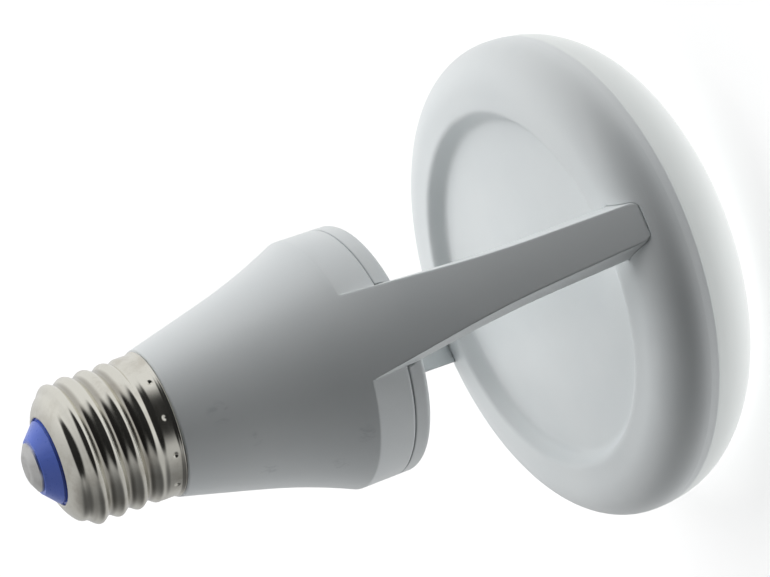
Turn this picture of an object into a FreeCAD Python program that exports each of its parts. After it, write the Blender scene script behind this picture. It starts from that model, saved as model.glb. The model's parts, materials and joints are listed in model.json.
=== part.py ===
"""Reflector-shaped LED flood lamp with a screw base, two open arms and a flat disc head.

The lamp stands on its lens. The origin is the centre of the lens's front face, +Z runs along the
lamp's axis towards the screw base, and the two arms lie along X. Lengths are in millimetres.
"""
import FreeCAD, Part
import math
import os

import Sketcher

AXES = {"x": FreeCAD.Vector(1, 0, 0), "y": FreeCAD.Vector(0, 1, 0), "z": FreeCAD.Vector(0, 0, 1)}

doc = FreeCAD.newDocument("led_flood_lamp")

# Driving dimensions: name, millimetres, degrees or a count, and what it is
SIZES = [
    ("head_radius", 47.5, "widest radius of the disc head"),
    ("lens_seam_height", 14.7, "height of the seam between lens and back shell"),
    ("rim_height", 1.7, "height of the back shell's upright rim above that seam"),
    ("shoulder_radius", 7.8, "rounding from that rim to the flat ring on the head's back"),
    ("ring_width", 4.4, "width of the flat ring"),
    ("seam_step", 0.1, "how far the lens stands back from the shell at the seam"),
    ("lens_wall", 1.6, "wall of the lens"),
    ("lens_lip_height", 2.2, "how far the lens's lip reaches into the back shell"),
    ("lens_lip_wall", 1.2, "wall of that lip"),
    ("front_fall", 17.0, "width over which the lens's front falls away to its rim"),
    ("front_round", 20.0, "rounding where it begins to fall"),
    ("lens_edge_height", 2.5, "height at which the falling front would meet the rim"),
    ("lens_rim_height", 0.5, "height of the lens's upright rim below the seam"),
    ("recess_slope", 2.1, "width of the recess's sloping side"),
    ("recess_depth", 3.1, "depth of the recess"),
    ("recess_round", 0.9, "rounding of the recess's two edges"),
    ("shell_wall", 1.8, "wall of the back shell"),
    ("boss_radius", 2.6, "radius of a screw boss"),
    ("boss_count", 3, "how many screw bosses"),
    ("boss_turn", 90.0, "angle from the arms to the first boss"),
    ("spreader_gap", 0.38, "gap between the aluminium heat spreader and the lens's lip"),
    ("spreader_thickness", 2.0, "thickness of the heat spreader"),
    ("lead_room", 2.7, "room for the leads between spreader and back shell"),
    ("board_margin", 8.0, "how far the spreader stands out round the LED board"),
    ("board_thickness", 1.6, "thickness of the LED board"),
    ("led_length", 3.5, "length of one LED package"),
    ("led_width", 2.8, "width of one LED package"),
    ("led_height", 0.7, "height of one LED package"),
    ("led_margin", 3.8, "distance of the outer ring of LEDs from the board's edge"),
    ("led_ring_pitch", 10.1, "distance from one ring of LEDs to the next"),
    ("led_spacing", 11.2, "least distance from one LED to the next along a ring"),
    ("screw_radius", 0.95, "radius of a screw's shank"),
    ("screw_head_radius", 2.2, "radius of a screw's head"),
    ("screw_head_height", 1.5, "height of a screw's head"),
    ("screw_length", 6.0, "length of a screw's shank"),
    ("lead_hole_place", 6.0, "distance of a lead's hole in the LED board from the axis"),
    ("collar_radius", 23.7, "radius of the collar and its cap"),
    ("head_gap", 34.9, "gap between the head's flat ring and the cap"),
    ("cap_edge_height", 3.3, "height of the cap's edge"),
    ("cap_wall", 2.0, "thickness of the cap"),
    ("cap_lip_height", 3.0, "how far the cap's lip reaches into the collar"),
    ("cap_lip_wall", 1.6, "wall of that lip"),
    ("cap_edge_round", 0.8, "rounding of the cap's edge"),
    ("seam_bevel", 0.15, "bevel of both edges at the seam between cap and collar"),
    ("collar_height", 7.1, "height of the collar, from that seam to the crease under the cone"),
    ("cone_length", 32.0, "length of the cone, from the crease to the screw shell"),
    ("neck_step", 0.4, "how far the cone's end stands out round the screw thread"),
    ("cone_angle", 15.0, "half-angle of the straight part of the cone"),
    ("flare_height", 17.1, "height over which the cone flares out to the collar"),
    ("housing_wall", 2.0, "wall of the housing"),
    ("neck_wall", 1.97, "wall of the neck inside the screw shell"),
    ("neck_length", 11.0, "length of the neck inside the screw shell"),
    ("neck_shoulder", 4.0, "depth below the screw shell at which the hollow draws in to that hole"),
    ("neck_draw", 2.8, "height over which it draws in"),
    ("neck_step_height", 1.6, "height of the neck's wider foot inside the skirt"),
    ("arm_thickness", 3.9, "radial thickness of an arm"),
    ("arm_root_width", 8.35, "half-width of an arm's outline at its root"),
    ("arm_root_rise", 5.0, "how far that root lies above the crease, along the arm"),
    ("arm_root_sink", 1.0, "how deep that root is sunk into the cone's wall"),
    ("arm_root_height", 2.5, "how far it reaches up inside that wall"),
    ("arm_waist_width", 4.48, "half-width at which an arm's two side slopes would meet"),
    ("arm_waist_place", 25.7, "how far below the crease they meet, along the arm"),
    ("arm_side_round", 220.0, "rounding of an arm's side"),
    ("arm_end_width", 3.4, "half-width of an arm's end"),
    ("arm_end_round", 1.8, "rounding of the end's corners"),
    ("arm_end_bevel", 0.35, "bevel of an arm's outer edge at its end"),
    ("arm_root_draft", 0.3, "how much wider an arm's inner face is at its root, each side"),
    ("arm_waist_draft", 1.0, "the same at its waist"),
    ("arm_end_draft", 1.55, "the same at its end"),
    ("arm_seat_depth", 2.95, "how far below the head's flat ring an arm ends in its socket"),
    ("channel_depth", 1.8, "radial size of the lead channel in an arm"),
    ("channel_width", 2.4, "width of the lead channel in an arm"),
    ("socket_floor", 1.5, "thickness of the floor of an arm's socket"),
    ("socket_margin", 1.2, "wall round an arm's socket, inside the head"),
    ("fit_clearance", 0.12, "clearance round a piece in its seat"),
    ("thread_radius", 13.15, "largest radius of the screw thread"),
    ("thread_depth", 0.84, "depth of the thread"),
    ("thread_pitch", 3.629, "pitch of the thread, seven turns to 25.4 mm"),
    ("thread_start", 3.2, "height of the plain skirt below the thread"),
    ("thread_end", 17.2, "height at which the thread has run out"),
    ("thread_runout", 1.3, "height over which the thread fades in or out"),
    ("skirt_relief", 0.1, "how far the plain skirt stands back from the thread's crests"),
    ("rim_bead", 0.3, "how far the skirt's rolled rim stands out"),
    ("rim_bead_height", 0.9, "height of that rim"),
    ("shell_height", 20.0, "height of the screw shell"),
    ("shell_end_round", 4.7, "rounding of the shell's closed end"),
    ("shell_end_width", 5.15, "distance from the thread's crests in to the hole in the shell's end"),
    ("shell_sheet", 0.42, "sheet thickness of the screw shell"),
    ("insulator_height", 2.6, "height of the insulator above the shell"),
    ("insulator_slope", 3.0, "width over which the insulator narrows to the contact"),
    ("insulator_edge", 0.3, "height of the insulator's upright edge above the shell"),
    ("insulator_foot", 3.0, "height of the insulator's foot inside the shell"),
    ("insulator_flange", 0.5, "how far that foot stands out past the shell's hole"),
    ("contact_margin", 0.6, "how far the insulator shows round the centre contact"),
    ("contact_height", 1.4, "height of the centre contact"),
    ("contact_rim", 0.4, "height of the contact's edge"),
    ("contact_slope", 1.8, "width over which the contact narrows to its domed middle"),
    ("contact_round", 1.4, "rounding of that dome"),
    ("stem_radius", 1.4, "radius of the contact's stem"),
    ("stem_bore", 0.62, "radius of the hole in the stem"),
    ("stem_length", 5.2, "length of the stem"),
    ("lead_radius", 0.6, "radius of an output lead"),
    ("lead_bend", 1.5, "bend radius of an output lead, on its middle line"),
    ("lead_seat_bend", 2.2, "its bend radius where it leaves an arm"),
    ("mains_lead_radius", 0.5, "radius of a mains lead"),
    ("driver_thickness", 1.6, "thickness of the driver board"),
    ("driver_side_gap", 0.68, "gap between the driver board's foot and the cap's lip"),
    ("driver_cone_gap", 0.93, "gap between the driver board's shoulder and the cone"),
    ("driver_neck_gap", 1.4, "gap between the driver board and the neck's bore"),
    ("driver_foot_rise", 3.4, "how far the driver board's foot reaches above the crease"),
    ("driver_shoulder", 14.1, "how far below the screw shell the driver board draws in"),
    ("driver_reach", 9.9, "how far the driver board reaches into the screw shell"),
    ("rib_thickness", 1.2, "thickness of a guide rib"),
    ("rib_reach", 1.4, "how far a rib overlaps the driver board's edge"),
    ("rib_length", 4.5, "length of a guide rib"),
    ("rib_gap", 0.6, "gap between the cap's lip and a guide rib"),
    ("rib_root", 0.7, "how far a rib runs into the housing's wall"),
    ("core_depth", 5.6, "depth of the transformer's core"),
    ("core_width", 17.4, "width of the transformer's core"),
    ("core_height", 16.0, "height of the transformer's core"),
    ("core_leg", 2.6, "thickness of the core's outer legs"),
    ("core_centre_radius", 2.3, "radius of the core's centre leg"),
    ("core_standoff", 4.3, "distance of the core from the board"),
    ("bobbin_wall", 0.8, "wall of the transformer's bobbin"),
    ("bobbin_flange_radius", 5.8, "radius of the bobbin's flanges"),
    ("bobbin_foot_end", 4.6, "distance from its middle line at which its feet begin"),
    ("winding_depth", 2.3, "radial depth of the winding"),
    ("transformer_place", 12.4, "height of the transformer's middle above the board's lower edge"),
    ("can_radius", 4.0, "radius of the output capacitor"),
    ("can_length", 10.0, "length of the output capacitor"),
    ("can_edge_round", 0.45, "rounding of the edges of both capacitor cans"),
    ("can_place", 21.8, "height of its lower end above the board's lower edge"),
    ("can_side", 5.2, "distance of its middle line from the lamp's axis, to the side"),
    ("mains_can_radius", 3.2, "radius of the input capacitor"),
    ("mains_can_length", 11.5, "length of the input capacitor"),
    ("mains_can_place", 33.0, "height of its lower end above the board's lower edge"),
    ("mains_can_side", 3.5, "distance of its middle line from the lamp's axis, to the side"),
    ("film_depth", 7.0, "height of the film capacitor off the board"),
    ("film_width", 5.0, "width of the film capacitor"),
    ("film_length", 9.0, "length of the film capacitor"),
    ("film_place", 21.8, "height of its lower end above the board's lower edge"),
    ("film_side", 1.6, "distance of its near side from the lamp's axis"),
    ("choke_ring", 2.7, "middle radius of the choke's ring"),
    ("choke_section", 1.3, "radius of the choke's section"),
    ("choke_place", 35.0, "height of the choke's middle above the board's lower edge"),
    ("choke_side", 4.0, "distance of the choke's middle from the lamp's axis"),
    ("fuse_radius", 1.5, "radius of the fuse resistor"),
    ("fuse_length", 6.5, "length of the fuse resistor"),
    ("fuse_place", 40.5, "height of its lower end above the board's lower edge"),
    ("fuse_side", 4.6, "distance of its middle line from the lamp's axis"),
    ("rectifier_length", 4.7, "length of the bridge rectifier"),
    ("rectifier_width", 4.0, "width of the bridge rectifier"),
    ("rectifier_height", 1.6, "height of the bridge rectifier"),
    ("rectifier_place", 36.0, "height of its lower end above the board's lower edge"),
    ("chip_length", 4.9, "length of the driver chip"),
    ("chip_width", 3.9, "width of the driver chip"),
    ("chip_height", 1.5, "height of the driver chip"),
    ("chip_place", 24.0, "height of its lower end above the board's lower edge"),
    ("diode_length", 4.5, "length of the output diode"),
    ("diode_width", 2.7, "width of the output diode"),
    ("diode_height", 2.2, "height of the output diode"),
    ("diode_place", 14.5, "height of its lower end above the board's lower edge"),
    ("lead_joint_place", 2.2, "height of the output leads' joints above the board's lower edge"),
    ("lead_rise_gap", 4.1, "distance from the collar's wall at which an output lead rises"),
    ("lead_turn_rise", 3.1, "how far above the crease it turns down into its arm"),
    ("mains_joint_place", 3.0, "length of a mains lead along the board"),
    ("mains_lead_bend", 1.0, "bend radius of a mains lead"),
    ("live_bend_height", 3.2, "height above the board at which the live lead leaves it"),
    ("shell_bend_height", 3.2, "height above the board at which the shell lead turns outwards"),
]

sheet = doc.addObject("Spreadsheet::Sheet", "Sizes")
for row, (alias, number, note) in enumerate(SIZES, start=1):
    sheet.set(f"A{row}", alias)
    sheet.set(f"B{row}", str(number))
    sheet.setAlias(f"B{row}", alias)
    sheet.set(f"C{row}", note)
doc.recompute()


class Size:
    """A number together with the expression that gives it from the sheet."""

    def __init__(self, number, text):
        self.number = float(number)
        self.text = text

    def __add__(self, other):
        other = as_size(other)
        return Size(self.number + other.number, f"({self.text} + {other.text})")

    def __sub__(self, other):
        other = as_size(other)
        return Size(self.number - other.number, f"({self.text} - {other.text})")

    def __mul__(self, other):
        other = as_size(other)
        return Size(self.number * other.number, f"({self.text} * {other.text})")

    def __truediv__(self, other):
        other = as_size(other)
        return Size(self.number / other.number, f"({self.text} / {other.text})")

    def __neg__(self):
        return Size(-self.number, f"(0 - {self.text})")


def as_size(value):
    return value if isinstance(value, Size) else Size(value, repr(float(value)))


def square_root(size):
    return Size(math.sqrt(size.number), f"sqrt({size.text})")


def tangent(degrees):
    return Size(math.tan(math.radians(degrees.number)), f"tan({degrees.text})")


def arc_tangent(slope):
    """The angle in degrees that has this slope."""
    return Size(math.degrees(math.atan(slope.number)), f"(atan({slope.text}) / 1 deg)")


def sine(degrees):
    return Size(math.sin(math.radians(degrees.number)), f"sin({degrees.text})")


def cosine(degrees):
    return Size(math.cos(math.radians(degrees.number)), f"cos({degrees.text})")


class Sheet:
    """The sheet's cells, by name."""

    def __getattr__(self, alias):
        return Size(sheet.get(alias), f"Sizes.{alias}")


S = Sheet()
ZERO = as_size(0)
BEND = "bend"


def bind(thing, **sizes):
    """Ties properties to the sheet."""
    for prop, size in sizes.items():
        thing.setExpression(prop, as_size(size).text)


def place(thing, x=ZERO, y=ZERO, z=ZERO, axis="z", turn=ZERO, prop="Placement"):
    """Moves a thing to a point and turns it about an axis, both tied to the sheet."""
    turned = FreeCAD.Rotation(AXES[axis], as_size(turn).number)
    setattr(thing, prop, FreeCAD.Placement(FreeCAD.Vector(), turned))
    for name, size in (("x", x), ("y", y), ("z", z)):
        thing.setExpression(f"{prop}.Base.{name}", as_size(size).text)
    if as_size(turn).number:
        thing.setExpression(f"{prop}.Rotation.Angle", as_size(turn).text)
    return thing


def new_sketch(body, plane, name):
    """A sketch on one of the body's own origin planes."""
    drawing = body.newObject("Sketcher::SketchObject", name)
    support = next(part for part in body.Origin.OriginFeatures if part.Role == plane)
    drawing.AttachmentSupport = [(support, "")]
    drawing.MapMode = "FlatFace"
    return drawing


def hold_point(drawing, shape, point, x, y):
    """Fixes one point of a sketch at a distance across and up from the sketch's origin."""
    for kind, axis, size in (("DistanceX", -2, x), ("DistanceY", -1, y)):
        if size.text == ZERO.text:
            drawing.addConstraint(Sketcher.Constraint("PointOnObject", shape, point, axis))
        else:
            held = drawing.addConstraint(Sketcher.Constraint(kind, -1, 1, shape, point, size.number))
            drawing.setExpression(f"Constraints[{held}]", size.text)


def rounding(before, corner, after, radius):
    """The two points where a rounding leaves the straight runs, and its middle."""
    back = (before - corner).normalize()
    on = (after - corner).normalize()
    half = back.getAngle(on) / 2
    reach = radius / math.tan(half)
    middle = corner + (back + on).normalize() * (radius / math.sin(half))
    return corner + back * reach, corner + on * reach, middle


def bend(start, end, ahead):
    """An arc from start to end that runs on into the straight run ahead, and its ends' numbers."""
    along = (ahead - end).normalize()
    left = FreeCAD.Vector(-along.y, along.x, 0)
    back = start - end
    radius = back.dot(back) / (2 * back.dot(left))
    circle = Part.Circle(end + left * radius, AXES["z"], abs(radius))
    first, last = (start, end) if radius > 0 else (end, start)
    angles = [math.atan2(v.y, v.x) for v in (first - circle.Center, last - circle.Center)]
    return Part.ArcOfCircle(circle, *angles), (1, 2) if radius > 0 else (2, 1)


def draw_outline(drawing, corners, closed=True):
    """Runs from corner to corner: across, up and, if it has one, a rounding.

    A corner with BEND in its rounding's place is reached by an arc that runs on into the next run.
    """
    points = [FreeCAD.Vector(as_size(c[0]).number, as_size(c[1]).number, 0) for c in corners]
    count = len(corners)
    leave, reach, arcs = list(points), list(points), {}
    for i, corner in enumerate(corners):
        if len(corner) == 3 and corner[2] is not BEND:
            before, after = points[i - 1], points[(i + 1) % count]
            reach[i], leave[i], middle = rounding(before, points[i], after, corner[2].number)
            arcs[i] = middle
    lines, bends = {}, {}
    for i in range(count if closed else count - 1):
        to = (i + 1) % count
        shape = Part.LineSegment(leave[i], reach[to])
        if corners[to][-1] is BEND:
            shape, bends[i] = bend(points[i], points[to], points[(to + 1) % count])
        lines[i] = drawing.addGeometry(shape)
    for i, corner in enumerate(corners):
        x, y = as_size(corner[0]), as_size(corner[1])
        last = (i - 1) % count if closed else i - 1
        before, after = lines.get(last), lines.get(i)
        arrives, departs = bends.get(last, (1, 2))[1], bends.get(i, (1, 2))[0]
        if i in arcs:
            start, end = reach[i] - arcs[i], leave[i] - arcs[i]
            turns_left = start.cross(end).z > 0
            first, last = (start, end) if turns_left else (end, start)
            circle = Part.Circle(arcs[i], AXES["z"], corner[2].number)
            angles = [math.atan2(v.y, v.x) for v in (first, last)]
            arc = drawing.addGeometry(Part.ArcOfCircle(circle, *angles))
            meets, leaves = (1, 2) if turns_left else (2, 1)
            drawing.addConstraint(Sketcher.Constraint("Tangent", before, 2, arc, meets))
            drawing.addConstraint(Sketcher.Constraint("Tangent", after, 1, arc, leaves))
            radius = drawing.addConstraint(Sketcher.Constraint("Radius", arc, corner[2].number))
            drawing.setExpression(f"Constraints[{radius}]", corner[2].text)
            mark = drawing.addGeometry(Part.Point(points[i]), True)
            drawing.addConstraint(Sketcher.Constraint("PointOnObject", mark, 1, before))
            drawing.addConstraint(Sketcher.Constraint("PointOnObject", mark, 1, after))
            hold_point(drawing, mark, 1, x, y)
        elif before is None:
            hold_point(drawing, after, 1, x, y)
        else:
            if after is not None:
                meeting = "Tangent" if corner[-1] is BEND else "Coincident"
                drawing.addConstraint(
                    Sketcher.Constraint(meeting, before, arrives, after, departs))
            hold_point(drawing, before, arrives, x, y)


def draw_circle(drawing, x, y, radius):
    """A circle of a given radius round a point of the sketch."""
    middle = FreeCAD.Vector(x.number, y.number, 0)
    circle = drawing.addGeometry(Part.Circle(middle, AXES["z"], radius.number))
    hold_point(drawing, circle, 3, x, y)
    held = drawing.addConstraint(Sketcher.Constraint("Radius", circle, radius.number))
    drawing.setExpression(f"Constraints[{held}]", radius.text)


def new_body(name):
    body = doc.addObject("PartDesign::Body", name)
    body.Label = name
    return body


def revolved(name, corners):
    """A body turned about the lamp's axis from its half section: radius, height, rounding."""
    body = new_body(name)
    section = new_sketch(body, "XZ_Plane", f"{name}_section")
    draw_outline(section, corners)
    turned = body.newObject("PartDesign::Revolution", f"{name}_turned")
    turned.Profile = section
    turned.ReferenceAxis = (section, ["V_Axis"])
    turned.Angle = 360
    body.Tip = turned
    return body


def padded(name, plane, corners, depth, offset=None, both_ways=False):
    """A body padded from an outline on one of the lamp's planes."""
    body = new_body(name)
    face = new_sketch(body, plane, f"{name}_outline")
    draw_outline(face, corners)
    if offset is not None:
        bind(face, **{"AttachmentOffset.Base.z": offset})
    pad = body.newObject("PartDesign::Pad", f"{name}_pad")
    pad.Profile = face
    pad.Midplane = both_ways
    bind(pad, Length=depth)
    body.Tip = pad
    return body


def lead(name, corners, radius, mirrored=False):
    """A round wire whose middle line follows the corners in the plane of the arms."""
    body = new_body(name)
    route = new_sketch(body, "XZ_Plane", f"{name}_route")
    draw_outline(route, corners, closed=False)
    first, second = corners[0], corners[1]
    upright = first[0].number == second[0].number
    end = new_sketch(body, "XY_Plane" if upright else "YZ_Plane", f"{name}_end")
    bind(end, **{"AttachmentOffset.Base.z": first[1] if upright else first[0]})
    draw_circle(end, first[0] if upright else ZERO, ZERO if upright else first[1], radius)
    pipe = body.newObject("PartDesign::AdditivePipe", f"{name}_pipe")
    pipe.Profile = end
    pipe.Spine = route
    body.Tip = pipe
    if mirrored:
        place(body, turn=as_size(180))
    return body


def solid(kind, name, x=ZERO, y=ZERO, z=ZERO, axis="z", turn=ZERO, **sizes):
    """One of the plain solids, sized and placed from the sheet."""
    thing = doc.addObject(f"Part::{kind}", name)
    bind(thing, **sizes)
    return place(thing, x, y, z, axis, turn)


def box(name, x, y, z, size_x, size_y, size_z):
    """A box given by its middle across, its lowest height and its three sizes."""
    x, y, z, size_x, size_y, size_z = (as_size(v) for v in (x, y, z, size_x, size_y, size_z))
    return solid("Box", name, x - size_x / 2, y - size_y / 2, z,
                 Length=size_x, Width=size_y, Height=size_z)


def cylinder(name, radius, height, x=ZERO, y=ZERO, z=ZERO):
    return solid("Cylinder", name, x, y, z, Radius=radius, Height=height)


def fused(name, pieces):
    thing = doc.addObject("Part::MultiFuse", name)
    thing.Shapes = pieces
    return thing


def common(name, first, second):
    thing = doc.addObject("Part::Common", name)
    thing.Base, thing.Tool = first, second
    return thing


def cut(name, base, tools):
    """The base less its tools."""
    thing = doc.addObject("Part::Cut", name)
    thing.Base = base
    thing.Tool = tools[0] if len(tools) == 1 else fused(f"{name}_tools", tools)
    return thing


def together(name, pieces):
    """Separate solids that count as one group."""
    thing = doc.addObject("Part::Compound", name)
    thing.Links = pieces
    return thing


def ring_places(radius, count, first=ZERO):
    """Points evenly round a circle, with the turn of each."""
    for i in range(int(count.number)):
        turn = first + as_size(360 * i) / count
        yield i, radius * cosine(turn), radius * sine(turn), turn


# Heights and radii that several pieces share, from the lens's face upwards
SHOULDER_HEIGHT = S.lens_seam_height + S.rim_height
BACK = SHOULDER_HEIGHT + S.shoulder_radius
RECESS_RADIUS = S.head_radius - S.shoulder_radius - S.ring_width
RECESS_FLOOR_RADIUS = RECESS_RADIUS - S.recess_slope
RECESS_FLOOR = BACK - S.recess_depth
SHELL_INSIDE = RECESS_FLOOR - S.shell_wall
LIP_RADIUS = S.head_radius - S.shell_wall - S.fit_clearance
LIP_INSIDE = LIP_RADIUS - S.lens_lip_wall

SPREADER_TOP = SHELL_INSIDE - S.lead_room
BOARD_BACK = SPREADER_TOP - S.spreader_thickness
BOARD_FACE = BOARD_BACK - S.board_thickness
SPREADER_RADIUS = LIP_INSIDE - S.spreader_gap
BOARD_RADIUS = SPREADER_RADIUS - S.board_margin
OUTER_RING = BOARD_RADIUS - S.led_margin
BOSS_CIRCLE = OUTER_RING - S.led_ring_pitch / 2

CAP_END = BACK + S.head_gap
CAP_SEAM = CAP_END + S.cap_edge_height
CAP_INSIDE = CAP_END + S.cap_wall
CREASE = CAP_SEAM + S.collar_height
NECK = CREASE + S.cone_length
COLLAR_INSIDE = S.collar_radius - S.housing_wall
CAP_LIP_RADIUS = COLLAR_INSIDE - S.fit_clearance
CONE_SLOPE = tangent(S.cone_angle)
NECK_RADIUS = S.thread_radius + S.neck_step
FLARE_TOP = CREASE + S.flare_height
FLARE_TOP_RADIUS = NECK_RADIUS + CONE_SLOPE * (S.cone_length - S.flare_height)

SHELL_TOP = NECK + S.shell_height
SHELL_CORE = S.thread_radius - S.thread_depth - S.shell_sheet
NECK_OUTSIDE = SHELL_CORE - S.fit_clearance
NECK_BORE = NECK_OUTSIDE - S.neck_wall
SHELL_END_HOLE = S.thread_radius - S.shell_end_width
INSULATOR_TOP_RADIUS = SHELL_END_HOLE - S.insulator_slope
CONTACT_RADIUS = INSULATOR_TOP_RADIUS - S.contact_margin
CONTACT_FOOT = SHELL_TOP + S.insulator_height

DRIVER_FACE = S.driver_thickness / 2
DRIVER_TOP = NECK + S.driver_reach
DRIVER_FOOT_WIDTH = CAP_LIP_RADIUS - S.cap_lip_wall - S.driver_side_gap
DRIVER_MIDDLE_WIDTH = (NECK_RADIUS + CONE_SLOPE * S.driver_shoulder - S.housing_wall
                       - S.driver_cone_gap)

# The arms carry on the cone's flare and end flush with the head's shoulder
ARM_SEAT = BACK - S.arm_seat_depth
SEAT_RISE = ARM_SEAT - SHOULDER_HEIGHT
SEAT_RADIUS = (S.head_radius - S.shoulder_radius
               + square_root(S.shoulder_radius * S.shoulder_radius - SEAT_RISE * SEAT_RISE))
FLARE_SLOPE = (SEAT_RADIUS - S.collar_radius) / (CREASE - ARM_SEAT)
FLARE_ANGLE = arc_tangent(FLARE_SLOPE)
ARM_LENGTH = (CREASE - ARM_SEAT) / cosine(FLARE_ANGLE)


def flare_radius(height):
    """Radius of the flare's outside at a height; it runs on along the arms."""
    return S.collar_radius + FLARE_SLOPE * (CREASE - height)


def arm_prism(name, growth):
    """An arm's tapered outline, drafted from its outer face inwards."""
    body = new_body(name)
    faces = []
    for side, depth in (("outer", -S.arm_thickness / 2), ("inner", S.arm_thickness * 2)):
        face = new_sketch(body, "YZ_Plane", f"{name}_{side}")
        root, waist, end = (
            width + growth + draft * depth / S.arm_thickness for width, draft in (
                (S.arm_root_width, S.arm_root_draft), (S.arm_waist_width, S.arm_waist_draft),
                (S.arm_end_width, S.arm_end_draft)))
        draw_outline(face, [
            (root, S.arm_root_rise),
            (-root, S.arm_root_rise),
            (-waist, -S.arm_waist_place, S.arm_side_round),
            (-end, -ARM_LENGTH, S.arm_end_round),
            (end, -ARM_LENGTH, S.arm_end_round),
            (waist, -S.arm_waist_place, S.arm_side_round),
        ])
        place(face, y=CREASE - depth * sine(FLARE_ANGLE),
              z=S.collar_radius - depth * cosine(FLARE_ANGLE),
              axis="x", turn=-FLARE_ANGLE, prop="AttachmentOffset")
        faces.append(face)
    loft = body.newObject("PartDesign::AdditiveLoft", f"{name}_loft")
    loft.Profile = faces[0]
    loft.Sections = [faces[1]]
    loft.Ruled = True
    body.Tip = loft
    return body


def arm_pair(name, growth, outer_edge):
    """Both arms, or with growth the space that they need; outer_edge is their wall's outside."""
    inside = S.arm_thickness + growth
    top = CREASE + S.arm_root_height
    wall = revolved(f"{name}_wall", [
        *outer_edge,
        (flare_radius(top) - S.arm_root_sink, top),
        (flare_radius(top) - inside, top),
        (SEAT_RADIUS - inside, ARM_SEAT),
    ])
    prism = arm_prism(f"{name}_prism", growth)
    near = common(f"{name}_near", wall, prism)
    return [near, opposite(f"{name}_far", near)]


def opposite(name, thing):
    """The same shape on the other side of the lamp's axis."""
    mirror = doc.addObject("Part::Mirroring", name)
    mirror.Source = thing
    mirror.Normal = AXES["x"]
    return mirror


def screws(name, height, length, radius):
    """Round solids on the circle of bosses, from a height upwards."""
    return [cylinder(f"{name}_{i}", radius, length, x, y, height)
            for i, x, y, turn in ring_places(BOSS_CIRCLE, S.boss_count, S.boss_turn)]


def lead_holes(name, height, length):
    """The holes through which the two output leads pass down to the LED board's lit face."""
    radius = S.lead_radius + S.fit_clearance
    return [cylinder(f"{name}_{side}", radius, length, sign * S.lead_hole_place, ZERO, height)
            for side, sign in (("near", as_size(1)), ("far", as_size(-1)))]


def housing():
    """The white moulding: cone, collar and both arms, hollow, with the neck for the screw shell."""
    wall, top = S.housing_wall, NECK + S.neck_length
    skirt_inside = S.thread_radius - S.skirt_relief - S.shell_sheet - S.fit_clearance
    step = NECK + S.neck_step_height
    form = revolved("housing_form", [
        (ZERO, CAP_SEAM),
        (S.collar_radius - S.seam_bevel, CAP_SEAM),
        (S.collar_radius, CAP_SEAM + S.seam_bevel),
        (S.collar_radius, CREASE),
        (FLARE_TOP_RADIUS, FLARE_TOP, BEND),
        (NECK_RADIUS, NECK),
        (skirt_inside, NECK),
        (skirt_inside, step),
        (NECK_OUTSIDE, step),
        (NECK_OUTSIDE, top),
        (ZERO, top),
    ])
    bore_start = NECK - S.neck_shoulder
    bore_cone = NECK_RADIUS + CONE_SLOPE * S.neck_shoulder - wall
    hollow = revolved("housing_hollow", [
        (ZERO, CAP_SEAM),
        (COLLAR_INSIDE, CAP_SEAM),
        (COLLAR_INSIDE, CREASE),
        (FLARE_TOP_RADIUS - wall, FLARE_TOP, BEND),
        (bore_cone, bore_start),
        (NECK_BORE, bore_start + S.neck_draw),
        (NECK_BORE, top),
        (ZERO, top),
    ])
    bevel = ARM_SEAT + S.arm_end_bevel
    arms = arm_pair("arm", ZERO, [
        (SEAT_RADIUS - S.arm_end_bevel, ARM_SEAT),
        (flare_radius(bevel), bevel),
        (S.collar_radius, CREASE),
    ])
    outside = fused("housing_outside", [form, *arms])
    shell = cut("housing_shell", outside, [hollow, *lead_channels()])
    ribs = guide_ribs()
    return fused("housing", [shell, *ribs])


def lead_channels():
    """The closed channel along the middle of each arm."""
    length = ARM_LENGTH + S.arm_root_rise
    low_x = SEAT_RADIUS - S.arm_thickness / 2 + FLARE_SLOPE * S.socket_margin
    near = solid("Box", "channel_near",
                 low_x - S.channel_depth / 2, -S.channel_width / 2,
                 ARM_SEAT - S.socket_margin, "y", -FLARE_ANGLE,
                 Length=S.channel_depth, Width=S.channel_width, Height=length + S.socket_margin)
    return [near, opposite("channel_far", near)]


def guide_ribs():
    """Two pairs of ribs inside the collar that the driver board's edges slide between."""
    bottom = CAP_SEAM + S.cap_lip_height + S.rib_gap
    inner = DRIVER_FOOT_WIDTH - S.rib_reach
    depth = COLLAR_INSIDE + S.rib_root - inner
    stand = DRIVER_FACE + S.fit_clearance + S.rib_thickness / 2
    return [
        box(f"rib_{i}", across * stand, along * (inner + depth / 2), bottom,
            S.rib_thickness, depth, S.rib_length)
        for i, (across, along) in enumerate(
            (as_size(a), as_size(b)) for a in (-1, 1) for b in (-1, 1))
    ]


def housing_cap(arm_space):
    """The disc that closes the collar, with its lip; it is notched where the arms leave."""
    lip_top = CAP_SEAM + S.cap_lip_height
    disc = revolved("cap_form", [
        (ZERO, CAP_END),
        (S.collar_radius, CAP_END, S.cap_edge_round),
        (S.collar_radius, CAP_SEAM - S.seam_bevel),
        (S.collar_radius - S.seam_bevel, CAP_SEAM),
        (CAP_LIP_RADIUS, CAP_SEAM),
        (CAP_LIP_RADIUS, lip_top),
        (CAP_LIP_RADIUS - S.cap_lip_wall, lip_top),
        (CAP_LIP_RADIUS - S.cap_lip_wall, CAP_INSIDE),
        (ZERO, CAP_INSIDE),
    ])
    return cut("housing_cap", disc, arm_space)


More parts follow.
